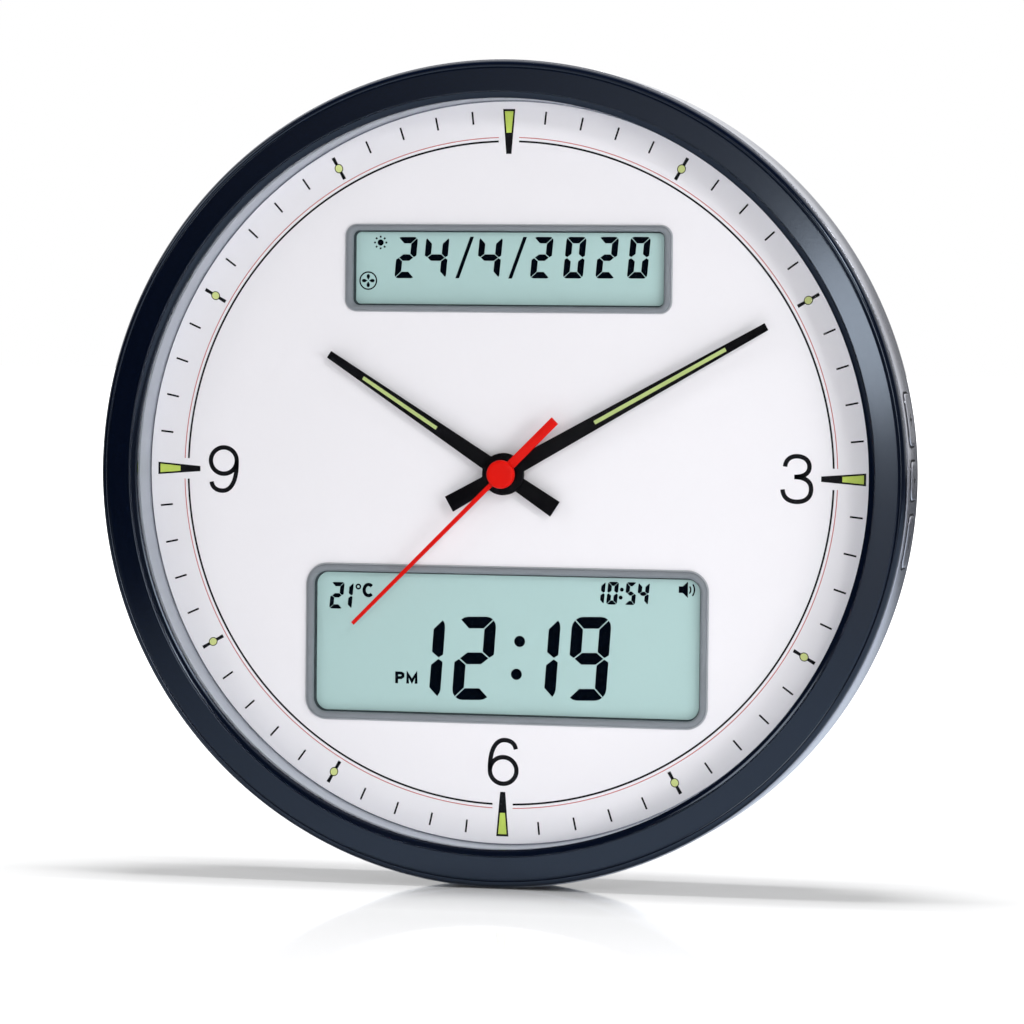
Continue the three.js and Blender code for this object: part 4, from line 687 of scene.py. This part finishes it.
lit = []
lean_date = LEAN * 15.1
for figure, left, right in (
    ("2", -43.3, -34.4), ("4", -32.6, -22.5), ("4", -12.5, -2.4), ("2", 7.8, 16.6),
    ("0", 20.1, 28.9), ("2", 32.2, 40.9), ("0", 43.9, 52.7),
):
    lit += segments(figure, left, 71.3 + 0.005 * left, right - left - lean_date, 15.1, 2.35, 0.16)
for left in (-20.2, -0.3):
    lit.append([(left, 71.2), (left + 1.4, 71.2), (left + 6.9, 86.4), (left + 5.5, 86.4)])
for figure, left, width in (("1", -33.2, 8.2), ("2", -20.5, 14.7), ("1", 10.2, 8.2), ("9", 22.6, 14.7)):
    lit += segments(figure, left, -83.0, width, 30.6, 4.3, 0.26, 0.85, 0.022)
for figure, left, width in (("1", 34.3, 2.3), ("0", 37.5, 4.0), ("5", 44.3, 3.9), ("4", 48.8, 4.2)):
    lit += segments(figure, left, -47.0, width, 8.3, 1.5, 0.1)
for figure, left, width in (("2", -67.1, 5.0), ("1", -63.0, 4.4)):
    lit += segments(figure, left, -50.9, width, 9.8, 1.55, 0.1)
lit += [circle(5.3, -61.3, 2.05, 24), circle(4.2, -73.4, 2.05, 24)]
lit += [circle(43.3, -41.5, 0.75, 12), circle(42.9, -44.4, 0.75, 12)]
figures = [prism("segment", outline, *segment_depths) for outline in lit]
figures.append(ribbon("degree", circle(-56.0, -42.6, 0.8, 16), 0.6, *segment_depths, closed=True))
figures.append(ribbon("celsius", arc(-52.1, -43.8, 1.7, 2.05, 44, 316, 20), 1.25, *segment_depths))

# Small signs of the displays: a sun, a ring with four petals, a sounder with two waves, and PM.
# They are generic pictograms of the same ink as the figures.
for ray in zip(circle(-48.6, 84.1, 1.8, 8), circle(-48.6, 84.1, 2.5, 8)):
    figures.append(ribbon("ray", ray, 0.65, *segment_depths))
figures.append(prism("sun", circle(-48.6, 84.1, 1.15, 24), *segment_depths))
figures.append(ribbon("ring", circle(-53.2, 70.1, 3.15, 40), 0.5, *segment_depths, closed=True))
petal = [(0.25, 0.0), (1.3, 0.62), (2.1, 0.55), (2.5, 0.0), (2.1, -0.55), (1.3, -0.62)]
for side, end in ((1, 0), (-1, 0), (0, 1), (0, -1)):
    turned_petal = [(side * along - end * across, end * along + side * across) for along, across in petal]
    figures.append(prism("petal", moved(turned_petal, -53.2, 70.1), *segment_depths))
horn = [(64.4, -42.2), (65.9, -42.2), (67.8, -44.0), (67.8, -38.0), (65.9, -39.8), (64.4, -39.8)]
figures.append(prism("horn", horn, *segment_depths))
for radius in (2.2, 3.6):
    figures.append(ribbon("wave", arc(66.6, -41.0, radius, radius, -38, 34, 9), 0.55, *segment_depths))
letter_p = [(0, 0), (0, 3.8), (1.7, 3.8), (2.4, 3.4), (2.4, 2.6), (1.7, 2.1), (0.2, 2.1)]
letter_m = [(4.2, 0), (4.2, 3.5), (5.8, 0.9), (7.4, 3.5), (7.4, 0)]
for letter in (letter_p, letter_m):
    figures.append(ribbon("letter", moved(letter, -41.1, -77.9), 1.1, *segment_depths))
dressed(merged("lcd_figures", figures), lcd_segment)

# Hour and minute hands: black enamelled sheet with a round hub and a broad tail, each pressed on
# its brass tube. A strip of pale green lume lies along the middle of each.
hand_enamel = finish("hand_enamel", "#070609", 0.34, tint=0.1, cloud=200, grain=1600, bump=0.04, shine=0.07)
lume_paint = finish("lume_paint", "#b9cb82", 0.6, tint=0.08, cloud=900, grain=3500, bump=0.25, shine=0.2)


def rotated(piece, degrees):
    """The piece turned clockwise about the clock's axis, in its mesh."""
    piece.data.transform(Matrix.Rotation(math.radians(degrees), 4, "Y"))
    return piece


def softened(piece, width, angle):
    """Breaks the edges of a piece that turn by more than an angle."""
    soft = piece.modifiers.new("edge", "BEVEL")
    soft.width = width * MM
    soft.segments = 2
    soft.limit_method = "ANGLE"
    soft.angle_limit = math.radians(angle)


def sheet_hand(name, blade, tail, hub, bore, back, front, edge=0.1):
    """A flat hand that points to 12; blade and tail are half widths at the axis and the end, and a reach."""
    root_half, tip_half, reach = blade
    tail_root_half, tail_half, tail_reach = tail
    outline = [(tip_half, reach), (-tip_half, reach), (-root_half, 0), (-tail_root_half, 0)]
    outline += [(-tail_half, -tail_reach), (tail_half, -tail_reach), (tail_root_half, 0), (root_half, 0)]
    hand = prism(name, outline, back, front)
    carved(hand, [rod(0, 0, hub, back, front, 72)], "UNION")
    carved(hand, [rod(0, 0, bore, back - 1, front + 1, 32)])
    softened(hand, edge, 50)
    return plain(hand, sharp=50)


HAND_SHEET = 0.6
HUB_RADIUS = 7.7
LUME_THICKNESS = 0.15
for label, angle, blade, tail, bore, back, (half, start, end) in (
    ("hour", 302.9, (2.9, 1.42, 79.0), (2.6, 3.2, 23), 2.6, 30.1, (0.65, 30.1, 63.4)),
    ("minute", 60.6, (3.0, 1.43, 111.1), (2.6, 3.15, 23), 1.7, 31.5, (0.7, 39.1, 94.2)),
):
    front = back + HAND_SHEET
    hand = rotated(sheet_hand(label + "_blade", blade, tail, HUB_RADIUS, bore, back, front), angle)
    dressed(hand, hand_enamel, label, [label + "_hand"])
    outline = [(half, end), (-half, end), (-half, start), (half, start)]
    strip = rotated(prism(label + "_strip", outline, front, front + LUME_THICKNESS), angle)
    dressed(strip, lume_paint, label, [label + "_lume"])

# Second hand and its cap: thin red enamelled sheet with a long tail, under a moulded red cap with
# a soft rounded rim that hides the end of the steel shaft.
red_enamel = finish("red_enamel", "#d91106", 0.35, tint=0.06, cloud=150, grain=1600, bump=0.04, shine=0.1)
second = sheet_hand("second_blade", (0.85, 0.7, 78.7), (1.7, 1.7, 28), 4.2, 0.8, 33.8, 34.2, edge=0.08)
dressed(rotated(second, 225), red_enamel, "second", ["second_hand"])
cap = turned("cap_moulding", [
    (0, 35.5),
    (0.8, 35.5),
    (0.8, 34.2),
    *arc(5.0, 34.4, 0.2, 0.2, -90, 0, 2),
    *arc(4.2, 35.3, 1.0, 1.0, 0, 80, 8),
    (3.2, 36.3),
    (0, 36.3),
], sides=96)
dressed(cap, red_enamel, "second", ["second_cap"])

# Side buttons: silver caps that follow the band and stand a little proud of it in their slots,
# with a rounded edge, a flange behind and a stem to the switch. A dark rubber seal lines each slot,
# its darkness painted shade of the gap round each cap.
mark_ink = finish("mark_ink", "#1d1e24", 0.5, tint=0.1, grain=2500, bump=0.05, shine=0.1)
# Painted shade: the seal's dark colour stands for the shade in the gap round each cap.
gap_shade_rubber = finish("gap_shade_rubber", "#15161b", 0.7, tint=0.1, grain=2500, bump=0.1, shine=0.15)
CAP_FACE = 150.64
MARK_LIFTS = (CAP_FACE - 0.02, CAP_FACE + 0.03)


def on_band(up, depth, radius):
    """A point on a cylinder round the clock's axis, at a height and a depth."""
    return spot(math.sqrt(radius ** 2 - up ** 2), up, depth)


def band_skin(name, up, length, stations, sharp=35, closed=False):
    """A skin that follows the band, over stations of (inset from the button's edge, radius)."""
    loops = []
    for inset, radius in stations:
        size = (length - 2 * inset, BUTTON_WIDTH - 2 * inset, max(BUTTON_CORNER - inset, 0.02))
        outline = rounded(up, BUTTON_DEPTH, *size, divisions=12)
        loops.append([on_band(u, d, radius) for u, d in outline])
    return lofted(name, loops, sharp, closed)


def bar_outline(half_length, half_width, steps):
    """Outline of a bar, its long sides in equal steps."""
    path = [half_length * (2 * i / steps - 1) for i in range(steps + 1)]
    return [(along, -half_width) for along in path] + [(along, half_width) for along in reversed(path)]


MARK_STROKES = {
    "upper": [bar_outline(2.2, 0.5, 8), [(u, d) for d, u in bar_outline(2.2, 0.5, 2)]],
    "middle": [bar_outline(0.8, 1.0, 8)],
    "lower": [bar_outline(3.0, 0.5, 8)],
}
for label, (up, length) in BUTTON_PLACES.items():
    skin = band_skin("cap_" + label, up, length, [
        (-0.9, 145.7), (-0.9, 147.3), (0.1, 147.3), (0.1, 150.2), (0.17, 150.4), (0.3, 150.56),
        *[(inset, CAP_FACE) for inset in (0.5, 1.5, 3.0, 4.6, 5.8, 6.2)],
    ], sharp=42)
    stem = side_prism("stem", rounded(up, BUTTON_DEPTH, 2.8, 2.8, 1.39, 6), 142.0, 146.2)
    skin = merged("cap_" + label, [skin, stem])
    dressed(skin, silver_paint, label + "_button", ["button_" + label])
    # Painted shade: a dark seal that fills the slot's gap so it shows as a dark outline.
    seal = band_skin("seal_" + label, up, length, [
        (0.07, 148.3), (-0.69, 148.3), (-0.69, 150.1), (-0.6, 150.26), (-0.3, 150.34), (-0.05, 150.26),
        (0.07, 150.1),
    ], closed=True)
    dressed(seal, gap_shade_rubber)
    marks = []
    for stroke in MARK_STROKES[label]:
        loops = [[on_band(up + u, BUTTON_DEPTH + d, lift) for u, d in stroke] for lift in MARK_LIFTS]
        marks.append(lofted("mark", loops))
    dressed(merged("mark_" + label, marks), mark_ink, label + "_button")

# Back cover: a grained grey tub that lies flat on the wall. It has the speaker's slots, the
# keyhole, the hole of the setting knob, the battery bay, ribs inside and a rim with screw holes.
cover_plastic = finish("cover_plastic", "#9fa2aa", 0.55, tint=0.03, cloud=30, grain=1100, bump=0.35)
BAY_X, BAY_WIDTH, BAY_LENGTH = 83.0, 46.5, 57.9
KNOB_UP = -18
SPEAKER_X = -80
KEYHOLE_HEAD_UP = 92
KEYHOLE_SLOT_UP = 104
HANGER_UP = 98
PEG_PLACES = [(14 * side, HANGER_UP + 13 * end) for side, end in CORNERS]


def bay_outline(play, corner):
    """Outline of the battery bay, wider and longer by a play."""
    return rounded(BAY_X, 0, BAY_WIDTH + play, BAY_LENGTH + play, corner)


def keyhole_outline(head_radius, slot_radius):
    """Outline of a keyhole: a round head hole with a slot above it."""
    head = arc(0, KEYHOLE_HEAD_UP, head_radius, head_radius, 110, 430, 32)
    return head + arc(0, KEYHOLE_SLOT_UP, slot_radius, slot_radius, 0, 180, 12)


cover = turned("cover_tub", [
    (0, 0),
    (119.0, 0),
    *arc(120.0, 2.0, 2.6, 2.0, -90, -25, 6),
    (130.6, 13.6),
    *arc(132.6, 14.6, 1.6, 1.8, 150, 90, 4),
    (146.9, 16.4),
    (147.3, 16.8),
    (147.3, 18.8),
    (131.8, 18.8),
    (128.6, 15.7),
    (120.0, 3.6),
    (118.6, 2.4),
    (0, 2.4),
], sides=240)
collar_section = [(28.8, 1.2), (30.6, 1.2), (30.6, 6.4), (28.8, 6.4)]
carved(cover, [
    prism("bay", bay_outline(3.6, 3.3), 0.6, 19.6),
    turned("speaker_collar", collar_section, sides=96, centre=(SPEAKER_X, 0)),
    rod(0, KNOB_UP, 11.6, 1.2, 4.8, 64),
], "UNION")
carved(cover, [
    prism("cut_keyhole", keyhole_outline(6.6, 4.1), -1, 4),
    rod(0, KNOB_UP, 10.0, -1, 6, 64),
    prism("cut_bay", bay_outline(0, 1.5), -1, 17.8),
    prism("cut_rebate", bay_outline(2.8, 3.0), -1, 2.3),
    *[rod(*place, SCREW_HOLE_RADIUS, 15, 20, 24) for place in SCREW_PLACES],
])


def grille_tree():
    """Node tree that cuts a round field of upright slots through a plate."""
    tree = geometry_tree("speaker_slots", {
        "Slots": "Int", "Pitch": "Float", "Width": "Float", "Field radius": "Float", "Centre": "Vector",
        "Finish": "Material",
    })
    given = node(tree, "NodeGroupInput").outputs
    index = node(tree, "GeometryNodeInputIndex").outputs["Index"]
    middle = calculated(tree, "MULTIPLY", calculated(tree, "SUBTRACT", given["Slots"], 1.0), 0.5)
    offset = calculated(tree, "MULTIPLY", calculated(tree, "SUBTRACT", index, middle), given["Pitch"])
    field = calculated(tree, "POWER", given["Field radius"], 2.0)
    squares = calculated(tree, "SUBTRACT", field, calculated(tree, "POWER", offset, 2.0))
    slot_radius = calculated(tree, "MULTIPLY", given["Width"], 0.5)
    half = calculated(tree, "SUBTRACT", calculated(tree, "SQRT", squares), slot_radius)
    across = node(tree, "ShaderNodeCombineXYZ", {"X": offset}).outputs["Vector"]
    place = node(tree, "ShaderNodeVectorMath", {0: across, 1: given["Centre"]}, operation="ADD")
    placed = node(tree, "GeometryNodeSetPosition", {
        "Geometry": node(tree, "GeometryNodePoints", {"Count": given["Slots"]}).outputs[0],
        "Position": place.outputs["Vector"],
    })
    upright = node(tree, "GeometryNodeMeshCylinder", {"Vertices": 16, "Radius": slot_radius, "Depth": 0.012})
    lying = node(tree, "GeometryNodeTransform", {
        "Geometry": upright.outputs["Mesh"], "Rotation": (math.pi / 2, 0, 0),
    })
    copies = node(tree, "GeometryNodeInstanceOnPoints", {
        "Points": placed.outputs["Geometry"], "Instance": lying.outputs["Geometry"],
    })
    stored = node(tree, "GeometryNodeStoreNamedAttribute", {
        "Geometry": copies.outputs["Instances"], "Name": "half", "Value": half,
    }, data_type="FLOAT", domain="INSTANCE")
    real = node(tree, "GeometryNodeRealizeInstances", {"Geometry": stored.outputs["Geometry"]})
    reach = node(tree, "GeometryNodeInputNamedAttribute", {"Name": "half"}, data_type="FLOAT")
    position = node(tree, "GeometryNodeInputPosition").outputs["Position"]
    height = node(tree, "ShaderNodeSeparateXYZ", {"Vector": position}).outputs["Z"]
    stretch = calculated(tree, "MULTIPLY", calculated(tree, "SIGN", height), reach.outputs["Attribute"])
    stretched = node(tree, "GeometryNodeSetPosition", {
        "Geometry": real.outputs["Geometry"],
        "Offset": node(tree, "ShaderNodeCombineXYZ", {"Z": stretch}).outputs["Vector"],
    })
    cut = node(tree, "GeometryNodeMeshBoolean", {
        "Mesh 1": given["Geometry"], "Mesh 2": stretched.outputs["Geometry"],
    }, operation="DIFFERENCE", solver="EXACT")
    set_result(tree, cut.outputs["Mesh"], given["Finish"])
    return tree


reshaped(cover, grille_tree(), {
    "Slots": 9,
    "Pitch": 5.2 * MM,
    "Width": 2.6 * MM,
    "Field radius": 23.5 * MM,
    "Centre": spot(SPEAKER_X, 0, 1.2),
    "Finish": cover_plastic,
})

gusset_outline = [(110.0, 1.6), (121.0, 1.6), (130.0, 14.4), (127.6, 14.4)]
gusset = lofted("gusset", [[spot(x, side, depth) for x, depth in gusset_outline] for side in (-0.8, 0.8)])
inner = [repeated("gussets", rotated(gusset, 15), 12, 0, cover_plastic)]
for place in PEG_PLACES:
    section = [(0, 1.2), (1.6, 1.2), (1.6, 4.7), (1.3, 5.0), (0, 5.0)]
    inner.append(turned("peg", section, sides=20, centre=place))
for side in (-1, 1):
    inner.append(prism("rib", rounded(BAY_X + 7.55 * side, 0, 1.0, 45.5, 0.3, 3), 13.0, 18.6))
cover_piece = merged("back_cover_moulding", [cover, *inner])
dressed(cover_piece, cover_plastic, stands_for=["back_cover"])

# Case screws: zinc-plated pan heads with a cross recess, six of them through the cover's rim
# into the bosses of the case.
zinc = finish("zinc_steel", "#bcbfc4", 0.3, metallic=1.0, tint=0.06, cloud=160, grain=1200, bump=0.05)
screw = turned("screw", [
    (0, 14.4),
    *arc(1.6, 15.5, 1.3, 1.1, -90, 0, 6),
    (2.9, 16.4),
    (1.45, 16.4),
    (1.45, 22.3),
    (1.1, 22.6),
    (0, 22.6),
], sides=32, centre=(0, SCREW_CIRCLE))
carved(screw, [
    prism("recess", rounded(0, SCREW_CIRCLE, *size, 0.1, 2), 13.5, 15.4) for size in ((0.7, 3.4), (3.4, 0.7))
])
screws = repeated("case_screws", screw, 6, 0, zinc)
dressed(screws, zinc, stands_for=["case_screw_%d" % i for i in range(1, 7)])

# Hanger plate: a stamped steel plate with the keyhole that bears on the wall screw, melted down
# on four pegs of the cover.
plate = prism("hanger_sheet", rounded(0, HANGER_UP, 36, 34, 3), 2.4, 3.6)
hanger_cuts = [prism("cut_keyhole", keyhole_outline(5, 2.5), 1, 5)]
hanger_cuts += [rod(*place, 1.9, 1, 5, 24) for place in PEG_PLACES]
carved(plate, hanger_cuts)
dressed(plate, zinc, stands_for=["hanger_plate"])

# Battery door: a grained plate flush in its rebate, with finger grooves near its upper edge and
# two ribs inside that locate it between the ends of the bay.
door = prism("door_plate", bay_outline(2.2, 2.7), 0.3, 2.0)
softened(door, 0.25, 60)
plain(door)
grooves = [prism("groove", rounded(BAY_X, 22.65 - 2.4 * i, 16, 1.0, 0.45, 4), -1, 0.8) for i in range(5)]
carved(door, grooves)
ribs = [prism("rib", rounded(BAY_X, 28.05 * side, 42.9, 1.2, 0.2, 3), 1.2, 3.6) for side in (-1, 1)]
door = merged("battery_door_moulding", [door, *ribs])
dressed(door, cover_plastic, "door", ["battery_door"])

# Movement and setting knob: a black quartz movement clipped behind the floor, its brass nut on the
# dial, its coaxial tubes, and the ribbed knob that shows in the cover's round hole.
black_plastic = finish("black_plastic", "#232529", 0.5, tint=0.06, grain=1300, bump=0.3)
brass = finish("turned_brass", "#c8a04e", 0.28, metallic=1.0, tint=0.05, cloud=200, grain=1500, bump=0.05)
painted(black_plastic, "movement_housing", "switch_upper", "switch_middle", "switch_lower")
painted(brass, "movement_nut", "hour_tube", "minute_tube")
painted(zinc, "second_shaft")
KNOB_RADIUS = 7.0
FLUTES = 12
FLUTE_DEPTH = 0.6


def fluted(inset, depth):
    """A loop of the knob's fluted side at a depth, or of its plain middle for a large inset."""
    flute = FLUTE_DEPTH / 2 if inset < 6 else 0
    loop = []
    for i in range(144):
        turn = 2 * math.pi * i / 144
        radius = KNOB_RADIUS - flute * (1 - math.cos(FLUTES * turn)) - inset
        loop.append(spot(radius * math.cos(turn), KNOB_UP + radius * math.sin(turn), depth))
    return loop


stations = [(6.9, 1.2), (0.5, 1.2), (0.15, 1.35), (0, 1.7), (0, 7.2), (0.2, 7.5), (6.9, 7.5)]
grip = lofted("knob_grip", [fluted(inset, depth) for inset, depth in stations], sharp=50)
knob = merged("knob_moulding", [grip, rod(0, KNOB_UP, 2.0, 7.2, 10.8, 32)])
dressed(knob, black_plastic, "knob", ["setting_knob"])

# Batteries, contacts, speaker and circuit boards: the inner parts keep their solids and get the
# finishes of the real ones. The cells are plain sleeved cells.
sleeve = finish("cell_sleeve", "#2f5f93", 0.3, metallic=0.4, tint=0.05, cloud=120, grain=1500, bump=0.03)
cone_paper = finish("cone_paper", "#24221f", 0.9, tint=0.15, cloud=500, grain=2200, bump=0.5)
ferrite = finish("ferrite", "#2a2a2d", 0.7, tint=0.1, cloud=300, grain=1800, bump=0.3)
solder_mask = finish("solder_mask", "#2c6b43", 0.35, tint=0.12, cloud=350, grain=1400, bump=0.08)
painted(sleeve, "battery_1", "battery_2", "battery_3")
painted(zinc, "contact_link_upper", "contact_tab_upper", "contact_tab_lower", "contact_link_lower")
painted(zinc, "speaker_basket")
painted(cone_paper, "speaker_cone")
painted(ferrite, "speaker_magnet")
painted(solder_mask, "upper_display_board", "lower_display_board", "switch_board")

# Floor: a wide white table top with a faint gloss, seen nearly edge on, that keeps the soft
# shadow and a weak mirror image of the clock. It ends a metre in front of the clock. For the camera
# it glows as painted light, more away from the clock's foot, and as mirrors and bounced light see it
# its colour is painted shade, darker to the left and far behind.
floor = new_object("floor", bpy.data.meshes.new("floor"))
FLOOR_UP = -0.1502
floor_corners = [(x, y, FLOOR_UP) for x, y in ((-12, -1), (12, -1), (12, 20), (-12, 20))]
floor.data.from_pydata(floor_corners, [], [(0, 1, 2, 3)])
table_top = bpy.data.materials.new("table_top")
table_top.use_nodes = True
tree = table_top.node_tree
surface = tree.nodes["Principled BSDF"]
rays = node(tree, "ShaderNodeLightPath").outputs
place = node(tree, "ShaderNodeTexCoord").outputs["Object"]
parts = node(tree, "ShaderNodeSeparateXYZ", {"Vector": place}).outputs
# Painted shade: mirrors and bounced light see the floor darker to the left and far behind; bounced light
# sees it brighter and mirrors see it tinted blue.
shade_to_left = graded(tree, parts["X"], -0.5, 0.1, 0.22, 0.5)
behind = graded(tree, parts["Y"], 0.3, 0.9, 1.0, 0.1)
painted_bounce_tint = mixed(tree, rays["Is Glossy Ray"], (1.45, 1.43, 1.46, 1), (0.86, 0.95, 1.06, 1))
painted_bounce = mixed(tree, calculated(tree, "MULTIPLY", shade_to_left, behind), (0, 0, 0, 1), painted_bounce_tint)
wire(tree, surface, {
    "Base Color": mixed(tree, rays["Is Camera Ray"], painted_bounce, (0.5, 0.5, 0.505, 1)),
    "Roughness": 0.06,
    "Specular IOR Level": calculated(tree, "MULTIPLY", rays["Is Camera Ray"], 0.12),
})
# Painted light: for the camera the floor glows, more with distance from the clock and off the line of its
# foot, so only the shadow under the clock stays dark.
distance = node(tree, "ShaderNodeVectorMath", {0: place}, operation="LENGTH").outputs["Value"]
aside = calculated(tree, "ABSOLUTE", calculated(tree, "ADD", parts["Y"], 0.022))
far = graded(tree, distance, 0.2, 1.2, 0.0, 1.0)
clear = graded(tree, aside, 0.035, 0.09, 0.0, 0.25)
lift = node(tree, "ShaderNodeEmission", {
    "Color": (1, 1, 1, 1),
    "Strength": calculated(tree, "MULTIPLY", calculated(tree, "ADD", far, clear), rays["Is Camera Ray"]),
})
both = node(tree, "ShaderNodeAddShader", {0: surface.outputs["BSDF"], 1: lift.outputs["Emission"]})
wire(tree, tree.nodes["Material Output"], {"Surface": both.outputs["Shader"]})
floor.data.materials.append(table_top)

# Studio: the camera sees a white surround. Mirror rays see it behind the clock too, and in front
# of it a dim room that is dark on the left and brighter on the right, which shades the bezel.
world = bpy.data.worlds.new("studio")
bpy.context.scene.world = world
world.use_nodes = True
tree = world.node_tree
rays = node(tree, "ShaderNodeLightPath").outputs
way = node(tree, "ShaderNodeTexCoord").outputs["Generated"]
parts = node(tree, "ShaderNodeSeparateXYZ", {"Vector": way}).outputs
left_end = calculated(tree, "POWER", graded(tree, parts["X"], -0.4, -0.11, 0.0, 1.0), 1.25)
right_end = graded(tree, parts["X"], 0.02, 0.15, 0.75, 0.1)
top_end = graded(tree, parts["Z"], 0.22, 0.4, 1.0, 0.1)
room = calculated(tree, "MULTIPLY", left_end, calculated(tree, "MULTIPLY", right_end, top_end))
flag_left = graded(tree, parts["X"], -0.12, -0.06, 1.0, 0.08)
flag_right = graded(tree, parts["X"], 0.22, 0.32, 0.08, 1.0)
flag_top = graded(tree, parts["Z"], 0.15, 0.25, 0.08, 1.0)
sky = calculated(tree, "MAXIMUM", flag_top, calculated(tree, "MAXIMUM", flag_left, flag_right))
mirrored = graded(tree, parts["Y"], -0.1, 0.1, room, sky)
softbox = graded(tree, parts["Y"], -0.3, 0.3, graded(tree, parts["X"], -0.3, 0.6, 0.25, 0.62), 0.2)
lit_by = graded(tree, rays["Is Glossy Ray"], 0, 1, softbox, mirrored)
white = calculated(tree, "MAXIMUM", rays["Is Camera Ray"], rays["Is Transmission Ray"])
wire(tree, tree.nodes["Background"], {
    "Color": (1, 1, 1, 1),
    "Strength": graded(tree, white, 0, 1, lit_by, 1.0),
})


def soft_lamp(name, place, aim, size, power, in_mirrors=True):
    """A rectangular area lamp that points at a place, seen in mirrors or not."""
    data = bpy.data.lights.new(name, "AREA")
    data.shape = "RECTANGLE"
    data.size, data.size_y = size
    data.energy = power
    lamp = new_object(name, data)
    lamp.location = place
    lamp.rotation_euler = (Vector(aim) - Vector(place)).to_track_quat("-Z", "Y").to_euler()
    lamp.visible_glossy = in_mirrors
    return lamp


CENTRE = (0, 0, 0)
soft_lamp("overhead", (0.0, -0.02, 1.5), (0, -0.02, 0), (0.6, 0.3), 45, in_mirrors=False)
soft_lamp("key_upper", (0.77, -1.1, 0.65), CENTRE, (0.25, 0.25), 3.8)
soft_lamp("key_lower", (1.1, -0.9, -0.03), CENTRE, (0.5, 0.2), 4.4, in_mirrors=False)
soft_lamp("fill_left", (-2.0, -1.6, 1.2), CENTRE, (0.8, 0.8), 9)
streak = soft_lamp("streak", (-0.017, -1.94, 0.1255), (-0.017, 0, 0.1255), (0.4, 0.21), 2.2)
streak.rotation_euler.rotate_axis("Z", math.radians(23))

# Camera: where the photograph was taken from, to the right of the clock and just above its middle.
back_azimuth, back_elevation, roll = (math.radians(angle) for angle in (13.432, 2.269, 0.554))
back = Vector((
    math.sin(back_azimuth) * math.cos(back_elevation),
    -math.cos(back_azimuth) * math.cos(back_elevation),
    math.sin(back_elevation),
))
level_right = Vector((math.cos(back_azimuth), math.sin(back_azimuth), 0))
level_up = back.cross(level_right)
right = math.cos(roll) * level_right + math.sin(roll) * level_up
up = -math.sin(roll) * level_right + math.cos(roll) * level_up
camera = new_object("camera", bpy.data.cameras.new("camera"))
camera.data.sensor_width = 36
camera.data.lens = 160.35
camera.data.clip_end = 60
camera.matrix_world = Matrix((
    (right.x, up.x, back.x, 0.3889),
    (right.y, up.y, back.y, -1.6450),
    (right.z, up.z, back.z, 0.0520),
    (0, 0, 0, 1),
))
bpy.context.scene.camera = camera
bpy.context.scene.view_settings.view_transform = "Standard"
